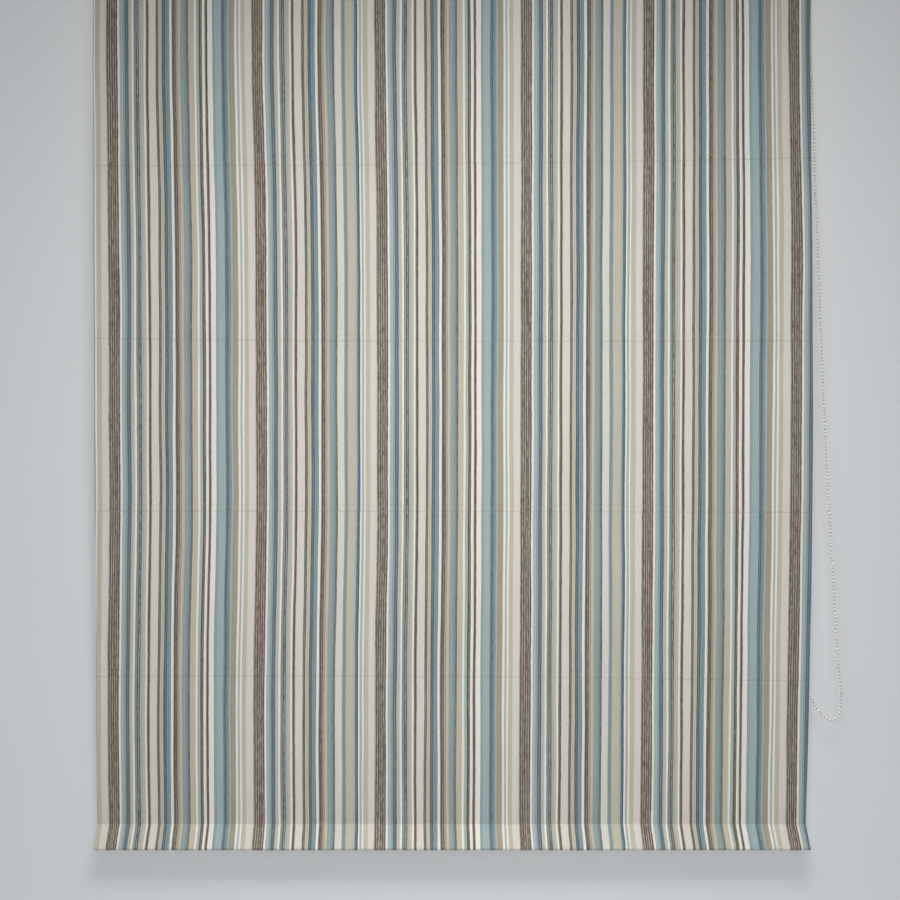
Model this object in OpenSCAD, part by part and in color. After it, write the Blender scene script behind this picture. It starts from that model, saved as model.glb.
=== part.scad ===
// Roman blind: flat cloth on five rods, raised by three lift tapes on a chain-driven shaft.
// X runs along the headrail, +Y points into the wall, +Z is up.
// The origin is the middle of the centre bracket's back face, on the wall.

/* [Blind] */
// Finished width of the cloth
blind_w = 1200; // [800:10:1600]
// Drop from the cloth's top edge to the bottom of its hem
blind_drop = 1600; // [900:10:2400]
// Height of one fold, from rod to rod
rod_spacing = 288; // [180:1:340]
// How far the hanging cloth drifts back to the wall by the time it reaches the hem
lean_back = 39; // [0:1:40]
// How fast that drift grows with the drop
lean_power = 2.3; // [1.5:0.1:3]

/* [Cloth] */
// Thickness of the face fabric
face_t = 1; // [0.6:0.1:1.4]
// Thickness of the lining
lining_t = 0.6; // [0.4:0.1:1]
// Air between two plies of cloth
ply_gap = 0.2; // [0.1:0.1:0.4]
// Width of the face fabric turned to the back at each side
side_hem = 40; // [25:1:60]
// How far the lining's edge lies inside the cloth's edge
lining_inset = 12; // [6:1:20]
// How far the cloth's top edge stands above the headrail
cloth_rise = 6; // [2:1:10]

/* [Hem and bottom bar] */
// Width of the flat bottom bar
bar_w = 38; // [28:1:46]
// Thickness of the bottom bar
bar_t = 4; // [3:0.5:6]
// How far the bar ends short of the cloth's edge
bar_inset = 12; // [6:1:20]
// Angle by which the hem swings forward
hem_angle = 45; // [20:1:55]
// Radius of the bend from the hanging cloth into the hem
hem_bend_r = 24; // [16:1:34]

/* [Rods and guides] */
// Diameter of a stiffening rod
rod_d = 4; // [3:0.5:6]
// Slack between a rod and its pocket, all round
pocket_slack = 0.6; // [0.3:0.1:0.8]
// How far a pocket ends short of the side hem
pocket_inset = 16; // [13:1:30]
// Length of a rod's end cap
rod_cap_l = 11; // [9:1:12]
// Width of a tape guide along the rod
guide_w = 12; // [11:1:16]
// Height of a tape guide's eye
guide_h = 8; // [6:1:12]

/* [Headrail] */
// Depth of the headrail, from front to back
rail_depth = 40; // [38:1:48]
// Height of the headrail
rail_h = 36; // [35:1:44]
// Wall thickness of the extrusion
rail_wall = 1.4; // [1:0.1:1.8]
// Width of each turned-in lip under the rail
rail_lip = 6; // [4:0.5:8]
// Opening of the slot along the rail's top
slot_w = 9; // [8:0.5:10]
// Width of the slot under its lips
slot_inner_w = 20; // [18:0.5:24]
// Height of the slot under its lips
slot_h = 4.6; // [4:0.2:5.4]
// Height of the hook and loop tapes
grip_h = 25; // [16:1:26]
// Thickness of each of the two tapes
grip_t = 1.2; // [0.8:0.1:1.6]

/* [Brackets and latches] */
// Width of a wall bracket
bracket_w = 40; // [36:1:50]
// Height of the bracket's wall leg
bracket_h = 36; // [30:1:40]
// Thickness of the bracket's steel
bracket_t = 2; // [1.5:0.5:3]
// Space behind the rail for screw heads
rail_gap = 6; // [5:1:10]
// How far the bracket's top leg reaches past the slot's middle
bracket_nose = 12; // [9:1:14]
// Radius of a screw hole
screw_r = 2.6; // [2:0.1:3]
// Distance between a bracket's two screw holes
screw_spacing = 24; // [20:1:28]
// Distance of an outer bracket's middle from the cloth's edge
bracket_inset = 100; // [60:5:120]
// Thickness of the latch's lever
lever_t = 3; // [2:0.2:4]
// Radius of the latch's spigot in the bracket
spigot_r = 3; // [2.5:0.1:3.4]

/* [Drive] */
// Beads that fill the sprocket's rim
sprocket_beads = 11; // [10:1:12]
// Pitch of the bead chain
bead_pitch = 6; // [5.8:0.1:6.2]
// Diameter of a bead
bead_d = 4.5; // [4:0.1:4.8]
// Diameter of the cord between the beads
chain_cord_d = 1.2; // [0.8:0.1:1.4]
// Length of the control unit along the rail
control_w = 24; // [22:1:30]
// Wall thickness of the control unit's mouldings
shell_t = 1.6; // [1.2:0.1:2]
// Drive shaft, across its flats
shaft_af = 5; // [4:0.5:6]
// Radius of a reel's hub
reel_hub_r = 7; // [6:0.5:8]
// Radius of a reel's flanges
reel_flange_r = 12; // [10:0.5:12.4]
// Distance of an outer lift tape from the cloth's edge
tape_inset = 150; // [140:5:200]
// Width of a lift tape
tape_w = 6; // [4:0.5:7]
// Thickness of a lift tape
tape_t = 0.3; // [0.2:0.1:0.5]

/* [Hidden] */
$fn = 48;
// Cloth left above the top rod at the least, and as many rods as the rest of the drop holds
top_fold_min = 120;
rod_count = floor((blind_drop - top_fold_min) / rod_spacing);
function numbered(name, count) = [for (i = [1:count]) str(name, i)];

// Clearances: between pieces that are put together, and in a bearing
fit = 0.2;
run = 0.08;
// Overshoot of a cut past the face that it goes through
cut = 1;

// Places along X, from left to right
half_w = blind_w / 2;
hardware_half = half_w - 2;
bracket_xs = [-half_w + bracket_inset, 0, half_w - bracket_inset];
tape_xs = [-half_w + tape_inset, 0, half_w - tape_inset];
end_cap_t = 3;
cover_t = 2;
rail_x0 = -hardware_half + end_cap_t;
rail_x1 = hardware_half - control_w;

// Heights of the headrail under the bracket's top leg
bracket_top_z = bracket_h / 2;
rail_top_z = bracket_top_z - bracket_t - lever_t - 2 * fit;
rail_bottom_z = rail_top_z - rail_h;
slot_floor_z = rail_top_z - 2 * rail_wall - slot_h;
hollow_r = 0.6;
cloth_top_z = rail_top_z + cloth_rise;
cloth_bottom_z = cloth_top_z - blind_drop;

// The grip tapes lie between the cloth's side hems, a little below the rail's top
grip_half = half_w - side_hem - fit;
grip_top_z = rail_top_z - 4;

// Depths from the wall to the cloth's front
rail_back_y = -bracket_t - rail_gap;
rail_front_y = rail_back_y - rail_depth;
rail_mid_y = rail_back_y - rail_depth / 2;
lining_back_y = rail_front_y - 2 * grip_t - run;
cloth_front_y = lining_back_y - lining_t - ply_gap - face_t;
lining_ply = face_t + ply_gap;
lining_back_ply = lining_ply + lining_t;

// The drive shaft's axis
axis_y = rail_mid_y;
axis_z = (slot_floor_z + rail_bottom_z + rail_wall) / 2;

// Points on an arc round c, from angle a0 to a1
function arc(c, r, a0, a1, steps = 6) =
    [for (i = [0:steps]) c + r * [cos(a0 + (a1 - a0) * i / steps), sin(a0 + (a1 - a0) * i / steps)]];

// Outline of a rectangle with round corners
function rounded(lo, hi, r) = concat(
    arc([hi.x - r, hi.y - r], r, 0, 90), arc([lo.x + r, hi.y - r], r, 90, 180),
    arc([lo.x + r, lo.y + r], r, 180, 270), arc([hi.x - r, lo.y + r], r, 270, 360));

// Outline of a flat bar with round edges, between the centres a and b
function stadium(a, b, r, steps = 12) =
    let (along = atan2(b.y - a.y, b.x - a.x))
    concat(arc(a, r, along + 90, along + 270, steps), arc(b, r, along - 90, along + 90, steps));

function reversed(list) = [for (i = [len(list) - 1:-1:0]) list[i]];
function unit(v) = v / norm(v);

// A line of points moved to its wall side by d, for a line that runs downwards
function moved(line, d) = [
    for (i = [0:len(line) - 1])
        let (t = unit(line[min(i + 1, len(line) - 1)] - line[max(i - 1, 0)]))
        line[i] + d * [-t.y, t.x]];
function band(line, near, far) = concat(moved(line, near), reversed(moved(line, far)));

// Fall line of the cloth's front: it drifts back to the wall, then bends forward into the hem
hem_in_r = bar_t / 2 + fit;
hem_out_r = hem_in_r + face_t;
bar_core = bar_w - bar_t;
function lean(drop) = lean_back * pow(drop / blind_drop, lean_power);
function lean_angle(drop) = atan(lean_power * lean(drop) / drop);
function front_y(z) = cloth_front_y + lean(cloth_top_z - z);
function hem_along(a) = [-sin(a), -cos(a)];
function hem_front(a) = [-cos(a), sin(a)];
bend_z = cloth_bottom_z + hem_out_r + bar_core * cos(hem_angle) + (hem_out_r + hem_bend_r) * sin(hem_angle);
bend_lean = lean_angle(cloth_top_z - bend_z);
bend_start_z = bend_z + hem_bend_r * sin(bend_lean);
bend_c = [front_y(bend_start_z), bend_start_z] + hem_bend_r * hem_front(-bend_lean);
bar_top = bend_c - (hem_bend_r + hem_out_r) * hem_front(hem_angle);
bar_bottom = bar_top + bar_core * hem_along(hem_angle);
fall_steps = 24;
fall_line = [
    for (i = [0:fall_steps - 1])
        let (z = cloth_top_z + (bend_start_z - cloth_top_z) * i / fall_steps) [front_y(z), z]];
function bend_line(a1, steps) = [
    for (i = [0:steps])
        bend_c - hem_bend_r * hem_front(-bend_lean + (a1 + bend_lean) * i / steps)];

// Rods, each in a pocket behind the lining
rod_r = rod_d / 2;
pocket_r = rod_r + pocket_slack;
pocket_out_r = pocket_r + lining_t;
rod_depth = lining_back_ply + pocket_r + fit;
pocket_half = half_w - side_hem - pocket_inset;
rod_cap_wall = pocket_slack;
rod_cap_floor = 2;
rod_half = pocket_half + rod_cap_l - rod_cap_floor;
rod_zs = [for (i = [0:rod_count - 1]) cloth_bottom_z + rod_spacing * (rod_count - i)];
function rod_at(i) =
    let (z = rod_zs[i], a = lean_angle(cloth_top_z - z))
    [front_y(z), z] + rod_depth * [cos(a), sin(a)];

// Tape guides, clipped over the pockets
clip_wall = 1.4;
clip_r = pocket_out_r + fit;
clip_out_r = clip_r + clip_wall;
eye_slot = 1.4;
eye_wall = 1.4;
tape_depth = clip_out_r + eye_slot / 2;
tape_slack = 0.4;
function tape_at(i) = rod_at(i) + [tape_depth, 0];

// Tape anchors, each riveted through the hem's back onto the bottom bar
rivet_r = 1.5;
anchor_t = 3.2;
anchor_w = 14;
anchor_len = 12;
anchor_drop = 9;
anchor_c = bar_top + anchor_drop * hem_along(hem_angle);
anchor_seat = hem_out_r + fit;
tape_end = anchor_c - (anchor_len / 2 + fit) * hem_along(hem_angle)
    - (anchor_seat + anchor_t / 2) * hem_front(hem_angle);
// The tape runs round the back of the bend, clear of the lining, and over the top of the hem's pocket
tape_over_hem = bar_top - hem_out_r * hem_along(hem_angle) - (hem_out_r + fit) * hem_front(hem_angle);
tape_clear = 1.2;
function behind_bend(a) = bend_c - (hem_bend_r + lining_back_ply + tape_clear) * hem_front(a);

// Reels
reel_flange_t = 1.2;
reel_w = tape_w + 1;
journal_r = shaft_af / 2 + 2;
journal_l = 2.4;
cheek_t = 1.8;
tie_h = 8;
reel_half = reel_w / 2 + reel_flange_t;
wound_r = reel_hub_r + run + 2 * tape_t;
tape_start = [axis_y - wound_r + tape_t / 2, axis_z];
hex_r = shaft_af / 2 / cos(30);

// Control unit
sprocket_r = sprocket_beads * bead_pitch / 360 * 180 / PI;
sprocket_w = bead_d + 3;
bead_proud = 1.2;
sprocket_rim_r = sprocket_r + bead_d / 2 - bead_proud;
pocket_flare = 25;
sprocket_x = hardware_half - cover_t - fit - sprocket_w / 2;
housing_x0 = rail_x1;
housing_x1 = hardware_half - cover_t;
hub_r = shaft_af / 2 + 2.5;
spring_wire = 1.2;
spring_turns = 5;
spring_r = hub_r + 1 + spring_wire / 2;
drum_r = spring_r + spring_wire / 2 + fit;
drum_l = sprocket_x - sprocket_w / 2 - housing_x0 - shell_t - 1;
plug_l = 12;
stub_r = 2.2;
stub_l = 4;
stub_chamber = 0.3;

// Latches, under each bracket's top leg and through the rail's slot
neck_r = slot_w / 2 - 0.8;
foot_half = slot_inner_w / 2 - 1.6;
foot_t = 2.4;
lever_r = 8;
lever_reach = 17;
washer_r = spigot_r + 2.6;
washer_t = 1;
slot_y = rail_mid_y;

// Chain route from the sprocket's front, round the hanging loop and up to its back,
// as steps from the sprocket's centre
chain_route = [
    [8, -10, -190], [14, -10, -390], [25, -10, -640], [37, -10, -890], [46, -9, -1090],
    [52.5, -8, -1220], [56, -7.5, -1280], [60, -6, -1318], [59, -5, -1336], [53.5, -4, -1352],
    [45, -2, -1361], [36, 0, -1356], [28, 2, -1347], [21, 4, -1336], [15, 6, -1323],
    [10.5, 7, -1307], [7.5, 8, -1287], [6, 8.5, -1240], [4.5, 9.5, -890], [2.5, 10, -440]
];
chain_knots = concat([[0, -sprocket_r, 0]], chain_route, [[0, sprocket_r, 0]]);
chain_sample = 4;
// Cut in the cord midway between two beads, which lets the chain turn over the sprocket
cord_gap = 0.5;

// Slope of the chain at knot i, from its neighbours and their distances
function knot_slope(p, i) =
    i == 0 ? [0, 0, -1] :
    i == len(p) - 1 ? [0, 0, 1] :
    let (a = norm(p[i] - p[i - 1]), b = norm(p[i + 1] - p[i]))
    ((p[i] - p[i - 1]) / a * b + (p[i + 1] - p[i]) / b * a) / (a + b);
function hermite(p, i, t) =
    let (h = norm(p[i + 1] - p[i]), m0 = h * knot_slope(p, i), m1 = h * knot_slope(p, i + 1))
    (2 * t ^ 3 - 3 * t ^ 2 + 1) * p[i] + (t ^ 3 - 2 * t ^ 2 + t) * m0
    + (3 * t ^ 2 - 2 * t ^ 3) * p[i + 1] + (t ^ 3 - t ^ 2) * m1;
function hanging(p) = [
    for (i = [0:len(p) - 2])
        let (n = max(2, ceil(norm(p[i + 1] - p[i]) / chain_sample)))
        for (k = [0:n - 1]) hermite(p, i, k / n)];
function over_sprocket(a0, a1, steps = 12) = [
    for (i = [0:steps - 1])
        let (a = a0 + (a1 - a0) * i / steps) sprocket_r * [0, cos(a), sin(a)]];

// The closed loop from the sprocket's top, with the length run at each of its points
chain_loop = concat(
    over_sprocket(90, 180), hanging(chain_knots), over_sprocket(0, 90), [[0, 0, sprocket_r]]);
chain_run = [
    for (i = 0, s = 0; i < len(chain_loop);
        s = s + (i < len(chain_loop) - 1 ? norm(chain_loop[i + 1] - chain_loop[i]) : 0), i = i + 1) s];
chain_l = chain_run[len(chain_run) - 1];
bead_count = round(chain_l / bead_pitch);
chain_tables = [for (k = [0:2]) [for (i = [0:len(chain_loop) - 1]) [chain_run[i], chain_loop[i][k]]]];
function chain_at(s) = [for (k = [0:2]) lookup(s, chain_tables[k])];

// Extrudes an outline in Y and Z from x0 to x1
module along_x(x0, x1) {
    translate([x0, 0, 0]) rotate([90, 0, 90]) linear_extrude(x1 - x0) children();
}

// A round bar along X
module round_x(x0, x1, r) {
    translate([x0, 0, 0]) rotate([0, 90, 0]) cylinder(h = x1 - x0, r = r);
}

// A hexagonal bar along X
module hex_x(x0, x1, r) {
    translate([x0, 0, 0]) rotate([0, 90, 0]) cylinder(h = x1 - x0, r = r, $fn = 6);
}

// A round bar from a to b
module between(a, b, r) {
    d = b - a;
    translate(a) rotate([0, acos(d.z / norm(d)), atan2(d.y, d.x)]) cylinder(h = norm(d), r = r, $fn = 16);
}

module rail_outline() {
    polygon(rounded([rail_front_y, rail_bottom_z], [rail_back_y, rail_top_z], 1.2));
}

// The rail's hollow under its slot, narrowed all round by gap
module rail_hollow(gap) {
    polygon(rounded(
        [rail_front_y + rail_wall + gap, rail_bottom_z + rail_wall + gap],
        [rail_back_y - rail_wall - gap, slot_floor_z - gap], hollow_r));
}

module slab(y0, z0, y1, z1) {
    translate([y0, z0]) square([y1 - y0, z1 - z0]);
}

module headrail() {
    color("gainsboro") along_x(rail_x0, rail_x1) difference() {
        rail_outline();
        rail_hollow(0);
        slab(rail_front_y + rail_wall + rail_lip, rail_bottom_z - cut,
            rail_back_y - rail_wall - rail_lip, rail_bottom_z + rail_wall + cut);
        slab(slot_y - slot_inner_w / 2, slot_floor_z + rail_wall,
            slot_y + slot_inner_w / 2, rail_top_z - rail_wall);
        slab(slot_y - slot_w / 2, rail_top_z - rail_wall - cut, slot_y + slot_w / 2, rail_top_z + cut);
        // Hollows beside the slot keep the wall even
        slab(rail_front_y + rail_wall, slot_floor_z + rail_wall,
            slot_y - slot_inner_w / 2 - rail_wall, rail_top_z - rail_wall);
        slab(slot_y + slot_inner_w / 2 + rail_wall, slot_floor_z + rail_wall,
            rail_back_y - rail_wall, rail_top_z - rail_wall);
    }
}

// One strip of the grip that holds the cloth to the rail, n tapes out from the rail's front
module grip(n) {
    along_x(-grip_half, grip_half)
        slab(rail_front_y - (n + 1) * grip_t, grip_top_z - grip_h, rail_front_y - n * grip_t, grip_top_z);
}

module hook_tape() {
    color("white") grip(0);
}

module loop_tape() {
    color("ivory") grip(1);
}

// A hollow tongue that plugs into the rail's end
module rail_plug(x0, x1) {
    along_x(x0, x1) difference() {
        rail_hollow(fit);
        rail_hollow(fit + shell_t);
        slab(rail_front_y + rail_wall + rail_lip + fit, rail_bottom_z - cut,
            rail_back_y - rail_wall - rail_lip - fit, rail_bottom_z + rail_h / 3);
    }
}

module end_cap_left() {
    color("white") {
        along_x(-hardware_half, rail_x0) rail_outline();
        rail_plug(rail_x0 - fit, rail_x0 + plug_l);
    }
}

module control_housing() {
    color("white") difference() {
        union() {
            along_x(housing_x0, housing_x1) rail_outline();
            rail_plug(housing_x0 - plug_l, housing_x0 + fit);
        }
        difference() {
            along_x(housing_x0 + shell_t, housing_x1 + cut) polygon(rounded(
                [rail_front_y + shell_t, rail_bottom_z + shell_t],
                [rail_back_y - shell_t, rail_top_z - shell_t], 0.8));
            translate([0, axis_y, axis_z])
                round_x(housing_x0, housing_x0 + shell_t + drum_l, drum_r + shell_t);
        }
        translate([0, axis_y, axis_z]) {
            round_x(housing_x0 + shell_t, housing_x0 + shell_t + drum_l + cut, drum_r);
            round_x(housing_x0 - cut, housing_x0 + shell_t + cut, hub_r + run);
        }
        // The mouth that both strands of the chain hang through
        translate([sprocket_x - bead_d, axis_y - sprocket_r - bead_d, rail_bottom_z - cut])
            cube([housing_x1 - sprocket_x + bead_d + cut, 2 * (sprocket_r + bead_d), shell_t + 2 * cut]);
    }
}

module control_cover() {
    color("white") {
        along_x(housing_x1, hardware_half) rail_outline();
        translate([0, axis_y, axis_z]) round_x(housing_x1 - stub_l, housing_x1 + fit, stub_r);
    }
}

module sprocket() {
    flare_h = sprocket_rim_r + cut - sprocket_r;
    color("whitesmoke") translate([0, axis_y, axis_z]) difference() {
        union() {
            round_x(sprocket_x - sprocket_w / 2, sprocket_x + sprocket_w / 2, sprocket_rim_r);
            round_x(housing_x0, sprocket_x, hub_r);
        }
        for (i = [0:sprocket_beads - 1])
            rotate([360 / sprocket_beads * i, 0, 0]) translate([sprocket_x, 0, sprocket_r]) {
                sphere(r = bead_d / 2 + fit);
                // Flared mouth, which lets a bead leave along the tangent
                cylinder(
                    h = flare_h, r1 = bead_d / 2 + fit, r2 = bead_d / 2 + fit + flare_h * tan(pocket_flare));
            }
        // Groove for the cord between the beads
        translate([sprocket_x - chain_cord_d / 2 - fit, 0, 0]) rotate([0, 90, 0]) difference() {
            cylinder(h = chain_cord_d + 2 * fit, r = sprocket_rim_r + cut);
            translate([0, 0, -cut])
                cylinder(h = chain_cord_d + 2 * fit + 2 * cut, r = sprocket_r - chain_cord_d);
        }
        hex_x(housing_x0 - cut, sprocket_x - sprocket_w / 4, hex_r + fit / 2);
        round_x(housing_x1 - stub_l - stub_chamber, sprocket_x + sprocket_w, stub_r + run);
    }
}

// A close-wound spring of square wire round the sprocket's hub
module brake_spring() {
    steps = 20;
    rings = spring_turns * steps;
    x0 = housing_x0 + shell_t + spring_wire;
    lead = spring_wire + 0.2;
    section = spring_wire / 2 * [[-1, -1], [1, -1], [1, 1], [-1, 1]];
    points = [
        for (i = [0:rings], c = section)
            let (a = 360 * i / steps)
            [x0 + lead * i / steps + c.x, (spring_r + c.y) * cos(a), (spring_r + c.y) * sin(a)]];
    sides = [
        for (i = [0:rings - 1], k = [0:3])
            let (a = 4 * i, n = (k + 1) % 4)
            [a + k, a + n, a + 4 + n, a + 4 + k]];
    ends = [[3, 2, 1, 0], [for (k = [0:3]) 4 * rings + k]];
    color("silver") translate([0, axis_y, axis_z]) polyhedron(points, concat(sides, ends), convexity = 10);
}

module drive_shaft() {
    color("silver") translate([0, axis_y, axis_z])
        hex_x(tape_xs[0] - reel_half - 3 * journal_l, sprocket_x - sprocket_w / 4 - fit, hex_r);
}

module reel(i) {
    color("whitesmoke") translate([tape_xs[i], axis_y, axis_z]) difference() {
        union() {
            round_x(-reel_half, reel_half, reel_hub_r);
            for (side = [0, 1]) mirror([side, 0, 0]) {
                round_x(reel_w / 2, reel_half, reel_flange_r);
                round_x(0, reel_half + journal_l, journal_r);
            }
        }
        hex_x(-reel_half - journal_l - cut, reel_half + journal_l + cut, hex_r + fit / 2);
    }
}

// A cradle that stands on the rail's lips and carries a reel between two cheeks
module reel_cradle(i) {
    x0 = reel_half + fit;
    x1 = x0 + cheek_t;
    color("white") translate([tape_xs[i], 0, 0]) {
        for (side = [0, 1]) mirror([side, 0, 0]) difference() {
            along_x(x0, x1) difference() {
                polygon(rounded(
                    [rail_front_y + rail_wall + fit, rail_bottom_z + rail_wall],
                    [rail_back_y - rail_wall - fit, slot_floor_z - fit], 1));
                slab(axis_y - reel_hub_r, rail_bottom_z, axis_y + reel_hub_r, axis_z - journal_r - 3);
            }
            translate([0, axis_y, axis_z]) round_x(0, x1 + cut, journal_r + run);
        }
        // Ties between the two cheeks, along the rail's front and back walls
        for (y = [rail_front_y + rail_wall + fit, rail_back_y - rail_wall - fit - cheek_t])
            translate([-x1, y, rail_bottom_z + rail_wall + hollow_r]) cube([2 * x1, cheek_t, tie_h]);
    }
}

module lift_tape(i) {
    line = concat(
        [tape_start], [for (k = [0:rod_count - 1]) tape_at(k)],
        [for (share = [0:0.25:0.5]) behind_bend(hem_angle * share)], [tape_over_hem, tape_end]);
    x0 = tape_xs[i] - tape_w / 2;
    color("white") {
        along_x(x0, x0 + tape_w) polygon(band(line, -tape_t / 2, tape_t / 2));
        translate([0, axis_y, axis_z]) difference() {
            round_x(x0, x0 + tape_w, wound_r);
            round_x(x0 - cut, x0 + tape_w + cut, reel_hub_r + run);
        }
    }
}

// A pressed-steel angle: wall leg behind the rail, top leg over its slot
module wall_bracket(i) {
    nose_y = slot_y - bracket_nose;
    color("white") translate([bracket_xs[i], 0, 0]) difference() {
        union() {
            rotate([90, 0, 0]) linear_extrude(bracket_t)
                polygon(rounded([-bracket_w / 2, -bracket_h / 2], [bracket_w / 2, bracket_h / 2], 4));
            along_x(-bracket_w / 2, bracket_w / 2) slab(-bracket_t, 0, 0, bracket_top_z);
            translate([0, 0, bracket_top_z - bracket_t]) linear_extrude(bracket_t)
                polygon(rounded([-bracket_w / 2, nose_y], [bracket_w / 2, 0], 4));
            translate([-bracket_w / 2, -2 * bracket_t, bracket_top_z - bracket_t])
                cube([bracket_w, 2 * bracket_t, bracket_t]);
            // Rib pressed into the corner
            along_x(-2 * bracket_t, 2 * bracket_t)
                polygon([[-bracket_t, bracket_top_z - bracket_t - 2], [-bracket_t, bracket_top_z - bracket_t],
                    [-bracket_t - 2, bracket_top_z - bracket_t]]);
        }
        for (x = [-1, 1] * screw_spacing / 2)
            translate([x, cut, 0]) rotate([90, 0, 0]) cylinder(h = bracket_t + 2 * cut, r = screw_r);
        translate([0, slot_y, bracket_top_z - bracket_t - cut])
            cylinder(h = bracket_t + 2 * cut, r = spigot_r + run);
    }
}

// A quarter-turn latch: thumb lever above the rail, foot across the slot under its lips
module latch(i) {
    lever_z = bracket_top_z - bracket_t - fit - lever_t;
    foot_z = rail_top_z - rail_wall - fit - foot_t;
    color("white") translate([bracket_xs[i], slot_y, 0]) {
        translate([0, 0, lever_z]) {
            cylinder(h = lever_t, r = lever_r);
            linear_extrude(lever_t) polygon(stadium([0, 0], [lever_reach, 0], 4));
            translate([0, 0, lever_t]) cylinder(h = fit + bracket_t + washer_t + 0.6, r = spigot_r);
        }
        translate([0, 0, foot_z + foot_t / 2]) cylinder(h = lever_z - foot_z, r = neck_r);
        translate([0, 0, foot_z]) linear_extrude(foot_t)
            polygon(stadium([0, -foot_half + neck_r], [0, foot_half - neck_r], neck_r));
    }
}

// A push-on washer that keeps the latch's spigot in the bracket
module latch_washer(i) {
    color("silver") translate([bracket_xs[i], slot_y, bracket_top_z]) difference() {
        cylinder(h = washer_t, r = washer_r);
        translate([0, 0, -cut]) cylinder(h = washer_t + 2 * cut, r = spigot_r + run);
    }
}

module face_fabric() {
    hem_back_ply = lining_back_ply + ply_gap;
    whole_line = concat(
        fall_line, bend_line(hem_angle, 10), [bar_bottom + hem_out_r * hem_front(hem_angle)]);
    color("tan") {
        difference() {
            along_x(-half_w, half_w) union() {
                polygon(band(whole_line, 0, face_t));
                polygon(stadium(bar_top, bar_bottom, hem_out_r));
                // Top edge turned over the lining
                slab(cloth_front_y, cloth_top_z - face_t, lining_back_y, cloth_top_z);
            }
            along_x(-half_w - cut, half_w + cut) polygon(stadium(bar_top, bar_bottom, hem_in_r));
            for (x = tape_xs) rivet(x, 0, anchor_seat + cut, rivet_r + fit);
        }
        // Side hems: round each edge and flat behind the lining
        for (side = [0, 1]) mirror([side, 0, 0]) {
            along_x(half_w - side_hem, half_w) polygon(band(fall_line, hem_back_ply, hem_back_ply + face_t));
            along_x(half_w - face_t, half_w) polygon(band(fall_line, face_t / 2, hem_back_ply + face_t / 2));
        }
    }
}

module lining() {
    top_z = cloth_top_z - face_t - ply_gap;
    line = concat(
        [[front_y(top_z), top_z]], [for (i = [1:fall_steps - 1]) fall_line[i]], bend_line(hem_angle / 3, 4));
    color("ivory") difference() {
        union() {
            along_x(-half_w + lining_inset, half_w - lining_inset)
                polygon(band(line, lining_ply, lining_back_ply));
            for (i = [0:rod_count - 1]) translate([0, rod_at(i).x, rod_at(i).y])
                round_x(-pocket_half, pocket_half, pocket_out_r);
        }
        for (i = [0:rod_count - 1]) translate([0, rod_at(i).x, rod_at(i).y])
            round_x(-pocket_half - cut, pocket_half + cut, pocket_r);
    }
}

module rod(i) {
    color("white") translate([0, rod_at(i).x, rod_at(i).y]) round_x(-rod_half, rod_half, rod_r);
}

module rod_caps(i) {
    color("whitesmoke") translate([0, rod_at(i).x, rod_at(i).y]) for (side = [0, 1]) mirror([side, 0, 0])
        difference() {
            round_x(pocket_half + fit, pocket_half + fit + rod_cap_l, rod_r + rod_cap_wall);
            round_x(pocket_half - cut, rod_half + run, rod_r + run);
        }
}

// Guides of one rod: a clip round the back of the pocket, with an eye for the tape behind it
module tape_guides(i) {
    eye_y0 = clip_out_r - eye_wall / 2;
    eye_y1 = tape_depth + eye_slot / 2 + eye_wall;
    slot_half = tape_w / 2 + tape_slack;
    color("whitesmoke") for (x = tape_xs) translate([x, rod_at(i).x, rod_at(i).y]) difference() {
        union() {
            difference() {
                round_x(-guide_w / 2, guide_w / 2, clip_out_r);
                round_x(-guide_w / 2 - cut, guide_w / 2 + cut, clip_r);
                translate([-guide_w / 2 - cut, -2 * clip_out_r, -clip_out_r - cut])
                    cube([guide_w + 2 * cut, 2 * clip_out_r - rod_r / 2, 2 * clip_out_r + 2 * cut]);
            }
            translate([0, 0, -guide_h / 2]) linear_extrude(guide_h)
                polygon(rounded([-guide_w / 2, eye_y0], [guide_w / 2, eye_y1], 1));
        }
        translate([-slot_half, tape_depth - eye_slot / 2, -guide_h / 2 - cut])
            cube([2 * slot_half, eye_slot, guide_h + 2 * cut]);
        round_x(-guide_w / 2 - cut, guide_w / 2 + cut, clip_r);
    }
}

module bottom_bar() {
    color("silver") along_x(-half_w + bar_inset, half_w - bar_inset)
        polygon(stadium(bar_top, bar_bottom, bar_t / 2));
}

module bottom_bar_caps() {
    cap_l = bar_inset / 2;
    color("whitesmoke") for (side = [0, 1]) mirror([side, 0, 0])
        along_x(half_w - bar_inset, half_w - bar_inset + cap_l)
            polygon(stadium(bar_top, bar_bottom, bar_t / 2));
}

// A round bar across the hem at x, from the bar's middle plane out to the hem's back
module rivet(x, near, far, r) {
    a = anchor_c - near * hem_front(hem_angle);
    b = anchor_c - far * hem_front(hem_angle);
    between([x, a.x, a.y], [x, b.x, b.y], r);
}

module tape_anchors() {
    along = hem_along(hem_angle);
    back = -hem_front(hem_angle);
    a = anchor_c + anchor_seat * back - anchor_len / 2 * along;
    color("whitesmoke") for (x = tape_xs) {
        along_x(x - anchor_w / 2, x + anchor_w / 2)
            polygon([
                a, a + anchor_len * along, a + anchor_len * along + anchor_t * back, a + anchor_t * back]);
        rivet(x, bar_t / 2, anchor_seat + anchor_t / 2, rivet_r);
    }
}

// One bead with a stub of the cord on either side, along Z
module bead() {
    sphere(d = bead_d);
    cylinder(h = bead_pitch - cord_gap, d = chain_cord_d, center = true);
}

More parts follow.
